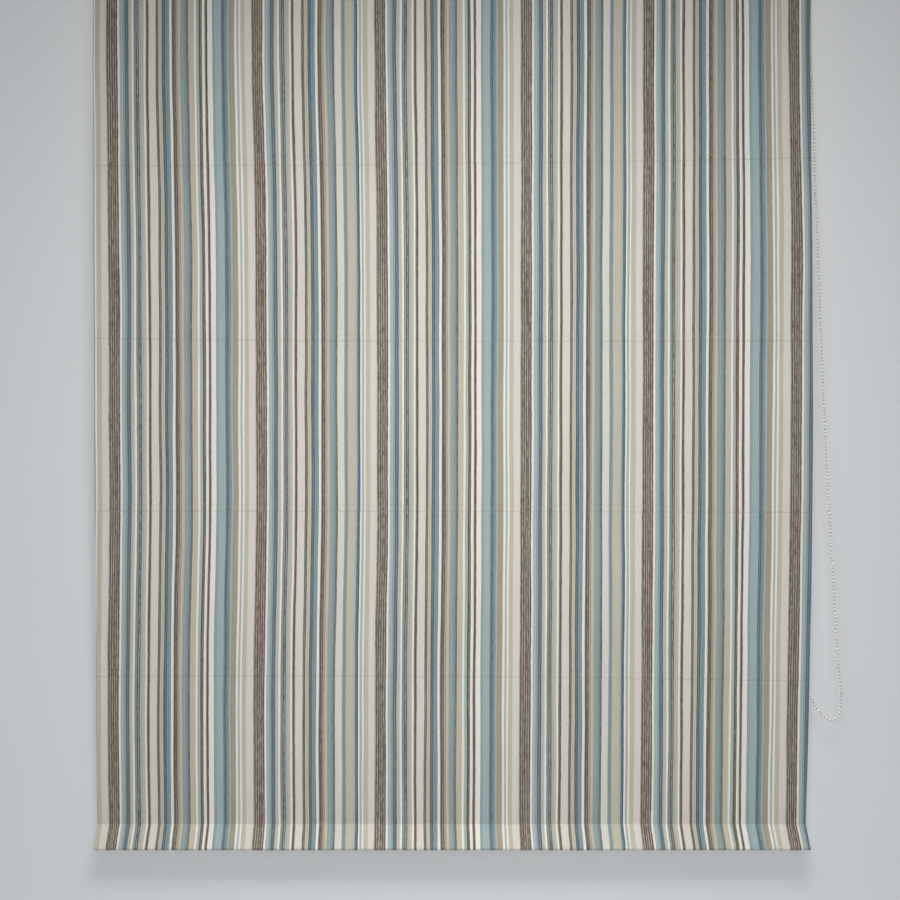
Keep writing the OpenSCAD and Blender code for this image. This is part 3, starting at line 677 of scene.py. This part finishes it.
def drawn_aluminium(name, colour, rough):
    """Extruded aluminium with fine lines along its length and a few handling marks."""
    t = new_finish(name)
    x, y, z = t.object_place()
    line = t.blotch(x / 260, y / 0.35, z / 0.35, detail=3.0)
    cloud = t.blotch(x / 90, y / 30, z / 30)
    scuff = t.ease(t.blotch(x / 14, y / 1.1, z / 2.3, detail=5.0), 0.68, 0.78)
    return t.coated({
        "Base Color": t.shade(colour, (0.93 + line * 0.12) * (0.97 + cloud * 0.06)), "Metallic": 1.0,
        "Roughness": rough - 0.06 + line * 0.14 + cloud * 0.06 + scuff * 0.14,
        "Normal": t.raised(line - scuff * 0.3, 0.02, 0.5)})


def coated_steel():
    t = new_finish("white_steel")
    x, y, z = t.object_place()
    peel = t.blotch(x / 1.3, y / 1.3, z / 1.3)
    cloud = t.blotch(x / 25, y / 25, z / 25, detail=4.0)
    rub = t.ease(t.blotch(x / 5, y / 5, z / 2, detail=6.0), 0.70, 0.80)
    tint = t.mix(rub * 0.3, rgb(228, 228, 225), rgb(176, 176, 174))
    return t.coated({
        "Base Color": t.shade(tint, 0.95 + cloud * 0.08),
        "Roughness": 0.36 + cloud * 0.1 + rub * 0.2, "Coat Weight": 0.2 * (1.0 - rub),
        "Normal": t.raised(peel, 0.05, 0.5)})


def bright_steel():
    t = new_finish("bright_steel")
    x, y, z = t.object_place()
    drawn = t.blotch(x / 30, y / 0.3, z / 0.3, detail=3.0)
    cloud = t.blotch(x / 9, y / 9, z / 9)
    tint = t.mix(t.ease(cloud, 0.45, 0.75) * 0.35, rgb(196, 197, 199), rgb(176, 172, 164))
    return t.coated({
        "Base Color": t.shade(tint, 0.92 + drawn * 0.14), "Metallic": 1.0,
        "Roughness": 0.2 + drawn * 0.12 + cloud * 0.1, "Normal": t.raised(drawn, 0.015, 0.5)})


def moulded_plastic(name, colour, rough, grain):
    """Moulded plastic with a fine spark-eroded skin and faint flow clouds."""
    t = new_finish(name)
    x, y, z = t.object_place()
    skin = t.blotch(x / grain, y / grain, z / grain, detail=3.0)
    flow = t.blotch(x / 22, y / 9, z / 14, detail=4.0)
    return t.coated({
        "Base Color": t.shade(colour, 0.95 + flow * 0.09),
        "Roughness": rough - 0.05 + skin * 0.12 + flow * 0.04,
        "Subsurface Weight": 0.06, "Subsurface Radius": (0.002, 0.0016, 0.0012), "Subsurface Scale": 1.0,
        "Normal": t.raised(skin, 0.03, 0.5)})


def glass_fibre():
    t = new_finish("glass_fibre")
    x, y, z = t.object_place()
    strand = t.blotch(x / 60, y / 0.25, z / 0.25, detail=3.0)
    return t.coated({
        "Base Color": t.shade(rgb(228, 229, 221), 0.86 + strand * 0.22), "Roughness": 0.3 + strand * 0.2,
        "Coat Weight": 0.25, "Normal": t.raised(strand, 0.03, 0.5)})


# Stage and light

WALL_TONE, PALE_TONE = rgb(220, 222, 224), rgb(199, 201, 203)
FLOOR_Z, STAGE_HALF, WALL_HEIGHT, WALL_Y = -1.9, 9.0, 6.0, 0.001
# Share of the stage's own pale tone in what the camera sees of it
STAGE_GLOW = {"studio_floor": 0.82, "studio_wall": 0.45}


def seen_rays(t):
    """1 for rays that show the background: straight from the camera, by gloss or through glass."""
    path = t.node("ShaderNodeLightPath")
    return path + path.out("Is Glossy Ray") + path.out("Is Transmission Ray")


def plain_stage(name, corners, surface):
    mesh = bpy.data.meshes.new(name)
    mesh.from_pydata(corners, [], [tuple(range(len(corners)))])
    mesh.materials.append(surface)
    made = bpy.data.objects.new(name, mesh)
    scene.collection.objects.link(made)


def stage_finish(name, see_through):
    """Pale matt stage with a soft shadow; a see-through one shows its front alone and lets light pass."""
    t = new_finish(name)
    x, y, z = t.object_place()
    cloud = t.blotch(x / 700, y / 700, z / 700)
    matt = t.node("ShaderNodeBsdfDiffuse", {}, {"Color": t.shade(WALL_TONE, 0.98 + cloud * 0.04)})
    pale = t.node("ShaderNodeEmission", {}, {"Color": PALE_TONE, "Strength": 1.0})
    seen = seen_rays(t)
    shown = t.node("ShaderNodeMixShader", {}, {0: seen * STAGE_GLOW[name], 1: matt, 2: pale})
    if see_through:
        behind = t.node("ShaderNodeNewGeometry").out("Backfacing")
        clear = t.node("ShaderNodeBsdfTransparent")
        shown = t.node("ShaderNodeMixShader", {}, {0: seen * (1.0 - behind), 1: clear, 2: shown})
    t.node("ShaderNodeOutputMaterial", {}, {"Surface": shown})
    return t.owner


def build_stage():
    e, low, high, y = STAGE_HALF, FLOOR_Z, FLOOR_Z + WALL_HEIGHT, WALL_Y
    plain_stage("studio_floor", [(-e, -e, low), (e, -e, low), (e, e, low), (-e, e, low)],
                stage_finish("studio_floor", False))
    plain_stage("studio_wall", [(-e, y, low), (e, y, low), (e, y, high), (-e, y, high)],
                stage_finish("studio_wall", True))


FILL_TONE, FILL_STRENGTH = (0.93, 0.96, 1.0, 1.0), 0.25


def build_world():
    world = bpy.data.worlds.new("studio_world")
    scene.world = world
    t = Tree(world)
    fill = t.node("ShaderNodeBackground", {}, {"Color": FILL_TONE, "Strength": FILL_STRENGTH})
    shown = t.node("ShaderNodeBackground", {}, {"Color": PALE_TONE, "Strength": 1.0})
    both = t.node("ShaderNodeMixShader", {}, {0: seen_rays(t), 1: fill, 2: shown})
    t.node("ShaderNodeOutputWorld", {}, {"Surface": both})


def soft_lamp(name, at, aim, size, power, tone, spread=180):
    lamp = bpy.data.lights.new(name, "AREA")
    lamp.shape, lamp.size, lamp.size_y = "RECTANGLE", size[0], size[1]
    lamp.energy, lamp.color, lamp.spread = power, tone, math.radians(spread)
    made = bpy.data.objects.new(name, lamp)
    made.location = at
    away = np.subtract(aim, at)
    made.rotation_euler = (
        math.acos(-away[2] / np.linalg.norm(away)), 0, math.atan2(away[0], -away[1]) + math.pi)
    scene.collection.objects.link(made)


def build_lamps():
    soft_lamp("front_light", at=(0.1, -1.7, -0.95), aim=(0.1, 0, -0.98), size=(0.8, 0.8), power=5.0,
              tone=(1.0, 0.985, 0.96))
    soft_lamp("high_light", at=(0.05, -1.4, 0.4), aim=(0, 0, -1.55), size=(1.2, 0.6), power=8.0,
              tone=(0.98, 0.99, 0.99), spread=80)
    soft_lamp("back_light", at=(0.6, 2.6, 0.5), aim=(0, 0, -0.8), size=(2.0, 1.6), power=58,
              tone=(1.0, 1.0, 1.0))


def build_camera():
    lens = bpy.data.cameras.new("photo_camera")
    lens.lens, lens.sensor_width = CAMERA_LENS, CAMERA_SENSOR
    lens.shift_x, lens.shift_y = CAMERA_SHIFT
    made = bpy.data.objects.new("photo_camera", lens)
    made.location = CAMERA_AT
    made.rotation_euler = (math.pi / 2, 0, 0)
    scene.collection.objects.link(made)
    scene.camera = made


# Bead chain

CHAIN_SAMPLE = 4


def knot_slopes(p):
    """Slopes at the chain's knots, from their neighbours; the ends hang straight down."""
    slopes = [np.array([0, 0, -1.0])]
    for a, b, c in zip(p[:-2], p[1:-1], p[2:]):
        near, far = np.linalg.norm(b - a), np.linalg.norm(c - b)
        slopes.append(((b - a) / near * far + (c - b) / far * near) / (near + far))
    return slopes + [np.array([0, 0, 1.0])]


def hanging_chain(p):
    """Points of a smooth line through the knots, without the last one."""
    m = knot_slopes(p)
    line = []
    for i in range(len(p) - 1):
        h = np.linalg.norm(p[i + 1] - p[i])
        n = max(2, math.ceil(h / CHAIN_SAMPLE))
        for t in np.arange(n) / n:
            line.append((2 * t**3 - 3 * t**2 + 1) * p[i] + (t**3 - 2 * t**2 + t) * h * m[i]
                        + (3 * t**2 - 2 * t**3) * p[i + 1] + (t**3 - t**2) * h * m[i + 1])
    return line


def over_sprocket(a0, a1, steps=12):
    return [SPROCKET_R * np.array([0, math.cos(a), math.sin(a)])
            for a in np.radians(a0 + (a1 - a0) * np.arange(steps) / steps)]


def chain_loop():
    """The whole loop from the sprocket's top, down its front, round and up its back."""
    route = [(0, -SPROCKET_R, 0), *CHAIN_ROUTE, (0, SPROCKET_R, 0)]
    knots = [np.array(k, float) for k in route]
    top = [np.array([0, 0, SPROCKET_R])]
    loop = over_sprocket(90, 180) + hanging_chain(knots) + over_sprocket(0, 90) + top
    return np.array(loop) + (SPROCKET_X, AXIS_Y, AXIS_Z)


def along_line(line, places):
    run = run_length(line, 0)
    return np.stack([np.interp(places, run, line[:, k]) for k in range(3)], 1)


def cross_frames(line):
    """Two unit vectors across each point of a line, carried along it without a twist."""
    t = np.gradient(line, axis=0)
    t /= np.linalg.norm(t, axis=1, keepdims=True)
    side = np.array([1.0, 0, 0])
    sides = []
    for d in t:
        side = side - d * side.dot(d)
        side /= np.linalg.norm(side)
        sides.append(side)
    return np.array(sides), np.cross(t, sides)


# Half of a bead's outline (along the cord, radius): round, with flats at the holes and a moulding line
BEAD_OUTLINE = [
    (-2.12, 0.62), (-1.98, 1.06), (-1.62, 1.57), (-1.05, 1.99), (-0.42, 2.2), (-0.14, 2.235),
    (-0.1, BEAD_R)]
BEAD_SIDES, CORD_SIDES, CORD_STEP = 12, 6, 2.5
# Shift of the beads that seats them alike in the sprocket's pockets with the blind down and up
BEAD_SHIFT = -0.27


def bead_parts(line, count):
    run = run_length(line, 0)[-1]
    pitch = run / count
    at = np.arange(count) * pitch + BEAD_SHIFT
    centre = along_line(line, at)
    d = along_line(line, (at + pitch / 2) % run) - along_line(line, (at - pitch / 2) % run)
    d /= np.linalg.norm(d, axis=1, keepdims=True)
    side = np.cross(d, np.where(np.abs(d[:, :1]) < 0.8, (1.0, 0, 0), (0, 1.0, 0)))
    side /= np.linalg.norm(side, axis=1, keepdims=True)
    other = np.cross(d, side)
    outline = BEAD_OUTLINE + [(-z, r) for z, r in reversed(BEAD_OUTLINE)]
    rings = [rings_round(centre + z * d, side, other, r, BEAD_SIDES) for z, r in outline]
    points = np.stack(rings, 1).reshape(-1, 3)
    faces = repeated(ring_faces(len(outline), BEAD_SIDES), len(outline) * BEAD_SIDES, count)
    return points, faces, points[:, [0, 2]]


def cord_part(line):
    run = run_length(line, 0)[-1]
    centre = along_line(line, np.linspace(0, run, round(run / CORD_STEP)))
    side, other = cross_frames(centre)
    points = rings_round(centre, side, other, CHAIN_CORD_R, CORD_SIDES).reshape(-1, 3)
    return points, ring_faces(len(centre), CORD_SIDES), points[:, [0, 2]]


def build_chain(bead_finish, cord_finish):
    line = chain_loop()
    length = run_length(line, 0)[-1]
    chain = make_piece("hung_bead_chain", [bead_parts(line, round(length / BEAD_PITCH)), cord_part(line)],
                       [bead_finish, cord_finish])
    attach(chain, "headrail_set")
    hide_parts("bead_chain")
    path = along_line(line, np.linspace(0, length, round(length / CHAIN_SAMPLE))) * MM
    length * MM


# Cloth

FACE_COLUMNS, LINING_COLUMNS, ROW_STEP = 80, 90, 13
# Flat width of the face and flat lengths of its top and hem, in metres
FACE_CUT, TOP_CUT, HEM_CUT = 1.28, 0.06, 0.137
# Share of the bend that the side hems reach, and the angle of the pocket's end round the bar's top
SIDE_HEM_BEND, WRAP_ANGLE = 0.45, 2.3
# Waves of the hem's pocket: how far below the bend they start, over what height, and how deep they get
WAVES_BELOW, WAVES_EASE, WAVES_DEEP = 8, 12, 0.35


def hem_relief(x, z):
    """Slight waves of the hem's pocket over the bar."""
    x, z = np.broadcast_arrays(np.asarray(x, float), np.asarray(z, float))
    low = np.clip((BEND_START - WAVES_BELOW - z) / WAVES_EASE, 0, 1)
    return -WAVES_DEEP * low * (0.5 + 0.5 * np.sin(x / 17 + 2 * np.sin(x / 90)))


def raise_with_blind(piece):
    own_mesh(piece)


def round_bar(turns, side):
    """Points round an end of the bar's pocket, from its front (side 1) or its back (side -1)."""
    front, along = hem_front(HEM_ANGLE), hem_along(HEM_ANGLE)
    return side * HEM_OUT_R * np.array([math.cos(a) * front + math.sin(a) * along for a in turns])


def hem_lines():
    """The hem's line down to where the side hems end, and on round the bar."""
    half_bend = HEM_ANGLE * SIDE_HEM_BEND
    upper = np.concatenate([
        fall_line(np.linspace(SEAM_Z, BEND_START, 5)[:-1]), bend_line(-BEND_LEAN, half_bend, 8)])
    turn = round_bar(np.linspace(0, math.pi, 12), 1)
    back = round_bar(np.linspace(0, WRAP_ANGLE, 9), -1)
    reach = BAR_CORE * hem_along(HEM_ANGLE)
    straight = [BAR_TOP + turn[0] + share * reach for share in np.linspace(0, 1, 7)]
    lower = np.concatenate([
        bend_line(half_bend, HEM_ANGLE, 6), straight[1:], BAR_BOTTOM + turn[1:], BAR_TOP + back])
    return upper, lower


def build_face(cloth):
    folded = folded_section(FACE_COLUMNS)
    plain = flat_section(HALF_W - FACE_T / 2, 0, FACE_T, 2 * FACE_COLUMNS)
    lid_z, lid_back = CLOTH_TOP - TURNED_BACK, CLOTH_FRONT + TURNED_BACK
    over = [(CLOTH_FRONT + 1 - math.sin(a), CLOTH_TOP - 1 + math.cos(a))
            for a in np.linspace(0, math.pi / 2, 6)]
    lid = np.array([(lid_back, CLOTH_TOP), *over, (CLOTH_FRONT, lid_z)])
    top_line = fall_line(panel_rows(lid_z, HANG_Z, ROW_STEP))
    top = make_piece("face_top", [
        sweep(plain, lid, -TURNED_BACK), sweep(folded, top_line, TURNED_BACK)], [cloth])
    panel = make_piece("face_panel", [
        sweep(folded, fall_line(panel_rows(HANG_Z, SEAM_Z, ROW_STEP)), CLOTH_TOP - HANG_Z)], [cloth])
    upper, lower = hem_lines()
    start = CLOTH_TOP - SEAM_Z
    bend = run_length(upper, start)[-1]
    hem = make_piece("face_hem", [
        sweep(folded, upper, start), sweep(plain, lower, bend, hem_relief)], [cloth])
    lengths = {top: TOP_CUT, panel: (HANG_Z - SEAM_Z) * MM, hem: HEM_CUT}
    for piece, length in lengths.items():
        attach(piece, "bottom_bar_set" if piece is hem else "headrail_set")
        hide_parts("face_fabric")
    raise_with_blind(panel)


def build_lining(cloth):
    section = flat_section(HALF_W - LINING_INSET, LINING_DEPTH, LINING_BACK, LINING_COLUMNS)
    top_z = CLOTH_TOP - FACE_T - PLY_GAP
    foot = np.concatenate([
        fall_line(np.linspace(SEAM_Z, BEND_START, 4)[:-1]), bend_line(-BEND_LEAN, HEM_ANGLE / 3, 6)])
    lines = {
        "lining_top": fall_line(panel_rows(top_z, HANG_Z, ROW_STEP)),
        "lining_panel": fall_line(panel_rows(HANG_Z, SEAM_Z, ROW_STEP)), "lining_foot": foot}
    for name, line in lines.items():
        piece = make_piece(name, [sweep(section, line, CLOTH_TOP - line[0, 1])], [cloth])
        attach(piece, "bottom_bar_set" if name == "lining_foot" else "headrail_set")
        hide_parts("lining")
        length = run_length(line, 0)[-1] * MM
        if name == "lining_panel":
            raise_with_blind(piece)


def rod_at(z):
    a = lean_angle(z)
    return np.array([front_y(z), z]) + ROD_DEPTH * np.array([math.cos(a), math.sin(a)])


POCKET_SIDES, POCKET_STEP, POCKET_GAP, POCKET_SLACK, POCKET_WALL = 28, 24, 0.08, 0.12, 0.4


def build_rod_pockets(cloth):
    """Round pockets behind the lining, each with a flat front that the raised cloth lies against."""
    for n, z in enumerate(ROD_ZS, 1):
        cy, cz = rod_at(z)
        x = np.linspace(-POCKET_HALF, POCKET_HALF, round(2 * POCKET_HALF / POCKET_STEP))[:, None]
        turn = circle(POCKET_SIDES)[None, :]
        slack = POCKET_SLACK * np.sin(x / 31 + n + 2 * turn)
        steep = math.tan(lean_angle(z)) / RAISED_SHARE

        def ring(r, front):
            up = (r + slack) * np.sin(turn)
            out = np.maximum((r + slack) * np.cos(turn), front - steep * np.minimum(up, 0))
            return np.stack(np.broadcast_arrays(x, cy + out, cz + up), -1)

        flat = np.stack(np.broadcast_arrays(x, z + POCKET_OUT_R * turn), -1)
        front = LINING_BACK + POCKET_GAP - ROD_DEPTH
        wall = tube_part(ring(POCKET_OUT_R, front), ring(POCKET_R, front + POCKET_WALL), flat)
        pocket = make_piece(f"rod_pocket_{n}", [wall], [cloth])
        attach(pocket, f"rod_{n}_set")
        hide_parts("lining")


STITCH_PITCH, STITCH_L, STITCH_R, STITCH_SIDES, STITCH_SHIFT = 3.4, 2.4, 0.2, 5, 0.7
SEWN_HALF = HALF_W - 3
# A stitch's rings: place along it, height above the cloth, share of the thread's radius
STITCH_RINGS = ((-0.5, -0.05, 0.5), (-0.25, 0.14, 0.95), (0.25, 0.14, 0.95), (0.5, -0.05, 0.5))


def on_cloth(x, z):
    """Points of the face's front at x and at z of an even fall."""
    low = z - seam_drift(x, z)
    return np.stack([x + edge_bow(x, z), front_y(low) + relief(x, z), low], 1)


def stitch_part(row, shift=0.0):
    """A row of sewn stitches across the cloth's front; row gives its points at each x."""
    x = np.arange(-SEWN_HALF + shift, SEWN_HALF, STITCH_PITCH)
    stitch = np.array([
        (along * STITCH_L, -proud - STITCH_R * thick * math.cos(a), STITCH_R * thick * math.sin(a))
        for along, proud, thick in STITCH_RINGS for a in circle(STITCH_SIDES)])
    points = (row(x)[:, None] + stitch[None]).reshape(-1, 3)
    one = ring_faces(len(STITCH_RINGS), STITCH_SIDES)[:, [0, 3, 2, 1]]
    return points, repeated(one, len(stitch), len(x)), points[:, [0, 2]]


def build_stitches(thread):
    def seam_row(z):
        return lambda x: on_cloth(x, z + 0.25 * np.sin(x / 47 + z))

    hem_y, hem_z = BEND_C - PRESSED_R * hem_front(HEM_ANGLE * 0.5)

    def hem_row(x):
        return np.stack([x, hem_y + hem_relief(x, hem_z), hem_z + 0.3 * np.sin(x / 60)], 1)

    rows = [stitch_part(seam_row(z), STITCH_SHIFT * n % STITCH_PITCH)
            for n, (z, _) in enumerate(STITCH_ROWS)]
    seams = make_piece("seam_stitches", rows, [thread])
    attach(seams, "headrail_set")
    raise_with_blind(seams)
    hem = make_piece("hem_stitches", [stitch_part(hem_row)], [thread])
    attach(hem, "bottom_bar_set")


# Tapes

# Straight run of a tape above and below a guide's middle, long enough to clear the guide when raised
GUIDE_RUN = 27
BEHIND_LINING, TAPE_STEP, TAPE_COLUMNS, WOUND_SIDES = 1.2, 12, 5, 40
# Ends of the tape beside the bar's pocket: steps along the hem and behind its front
FOOT_STEPS = ((-HEM_OUT_R, HEM_OUT_R + 0.2), (2.8, 5.0))


def tape_line():
    """The lift tape from its reel through the guides to the anchor on the bottom bar."""
    along, front = hem_along(HEM_ANGLE), hem_front(HEM_ANGLE)
    line = [(AXIS_Y - WOUND_R + TAPE_T / 2, AXIS_Z)]
    line += [rod_at(z) + (TAPE_DEPTH, step) for z in ROD_ZS for step in (GUIDE_RUN, -GUIDE_RUN)]
    bend_r = PRESSED_R + LINING_BACK + BEHIND_LINING
    line += [BEND_C - bend_r * hem_front(HEM_ANGLE * share) for share in (0, 0.25, 0.5)]
    line += [BAR_TOP + down * along - behind * front for down, behind in FOOT_STEPS]
    line = np.array(line)
    run = run_length(line, 0)
    cuts = [np.interp(-z, -line[:, 1], run) for z in (HANG_Z, SEAM_Z)]
    bounds = [0, *cuts, run[-1]]

    def stretch(a, b):
        inner = run[(run > a + 0.5) & (run < b - 0.5)]
        places = np.unique(np.concatenate([np.linspace(a, b, max(4, round((b - a) / TAPE_STEP))), inner]))
        return np.stack([np.interp(places, run, line[:, k]) for k in range(2)], 1)

    return [stretch(a, b) for a, b in zip(bounds[:-1], bounds[1:])]


def wound_part(x):
    """The tape's turns on its reel."""
    xs = np.linspace(x - TAPE_W / 2, x + TAPE_W / 2, TAPE_COLUMNS)[:, None]
    turn = circle(WOUND_SIDES)[None, :]

    def ring(r):
        return np.stack(np.broadcast_arrays(xs, AXIS_Y + r * np.cos(turn), AXIS_Z + r * np.sin(turn)), -1)

    flat = np.stack(np.broadcast_arrays(xs, WOUND_R * turn), -1)
    return tube_part(ring(WOUND_R), ring(REEL_HUB_R), flat)


def build_lift_tapes(web):
    for n, x in enumerate(TAPE_XS, 1):
        section = flat_section(TAPE_W / 2, -TAPE_T / 2, TAPE_T / 2, TAPE_COLUMNS)
        section[:, [0, 2]] += x
        for name, line in zip(("top", "run", "foot"), tape_line()):
            parts = [sweep(section, line, CLOTH_TOP - line[0, 1], no_relief, loose=False)]
            if name == "top":
                parts.append(wound_part(x))
            piece = make_piece(f"lift_tape_{n}_{name}", parts, [web])
            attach(piece, "bottom_bar_set" if name == "foot" else "headrail_set")
            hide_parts(f"lift_tape_{n}")
            if name == "run":
                raise_with_blind(piece)


GRIP_COLUMNS, GRIP_ROWS = 560, 14


def build_grip_tapes(grip):
    """Two strips that grip each other between the rail and the cloth, with their piles face to face."""
    x, z = np.meshgrid(np.linspace(-GRIP_HALF, GRIP_HALF, GRIP_COLUMNS),
                       np.linspace(GRIP_TOP, GRIP_TOP - GRIP_H, GRIP_ROWS))
    pile = 0.1 * (np.sin(x * 1.9) * np.sin(z * 2.3) + np.sin(x * 0.83 + z * 1.7)) - 0.2
    inside = (np.abs(x) < GRIP_HALF) & (z < GRIP_TOP) & (z > GRIP_TOP - GRIP_H)
    pile = np.where(inside, np.minimum(pile, 0), 0)
    middle = RAIL_FRONT - GRIP_T
    sides = {"hook_tape": (middle - pile, np.full_like(x, RAIL_FRONT)),
             "loop_tape": (np.full_like(x, middle - GRIP_T), middle + pile)}
    for name, (front, back) in sides.items():
        part = sheet_part(np.stack([x, front, z], -1), np.stack([x, back, z], -1), np.stack([x, z], -1))
        piece = make_piece(f"{name}_strip", [part], [grip])
        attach(piece, "headrail_set")
        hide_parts(name)


# Hardware that keeps its solids


def numbered(name, count):
    return [f"{name}_{n}" for n in range(1, count + 1)]


def dress_hardware():
    white = moulded_plastic("white_plastic", rgb(229, 228, 223), 0.4, 0.5)
    natural = moulded_plastic("natural_plastic", rgb(221, 218, 206), 0.46, 0.7)
    finishes = [
        (drawn_aluminium("rail_aluminium", rgb(214, 215, 217), 0.34), ["headrail"]),
        (drawn_aluminium("bar_aluminium", rgb(198, 200, 203), 0.38), ["bottom_bar"]),
        (coated_steel(), numbered("wall_bracket", 3)),
        (bright_steel(), ["drive_shaft", "brake_spring"] + numbered("latch_washer", 3)),
        (white, ["end_cap_left", "control_housing", "control_cover", "bottom_bar_caps"]
         + numbered("latch", 3)),
        (natural, ["sprocket", "tape_anchors"] + numbered("reel", 3) + numbered("reel_cradle", 3)
         + numbered("rod_caps", 5) + numbered("tape_guides", 5)),
        (glass_fibre(), numbered("rod", 5)),
    ]
    for finish, names in finishes:
        for name in names:
            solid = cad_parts[name]
            solid.data.materials.clear()
            solid.data.materials.append(finish)


scene.view_settings.view_transform = "Standard"
build_camera()
# The chain's cord gets a dark colour as painted shade in the gaps between the beads
build_chain(moulded_plastic("bead_plastic", rgb(234, 231, 223), 0.26, 0.6),
            sewing_thread("chain_cord_painted_shade", rgb(122, 116, 104)))
striped, plain_lining = striped_cloth(), lining_cloth()
build_face(striped)
build_lining(plain_lining)
build_rod_pockets(plain_lining)
build_stitches(sewing_thread("sewing_thread", rgb(170, 163, 150)))
build_lift_tapes(web_tape())
build_grip_tapes(grip_tape())
dress_hardware()
build_stage()
build_world()
build_lamps()
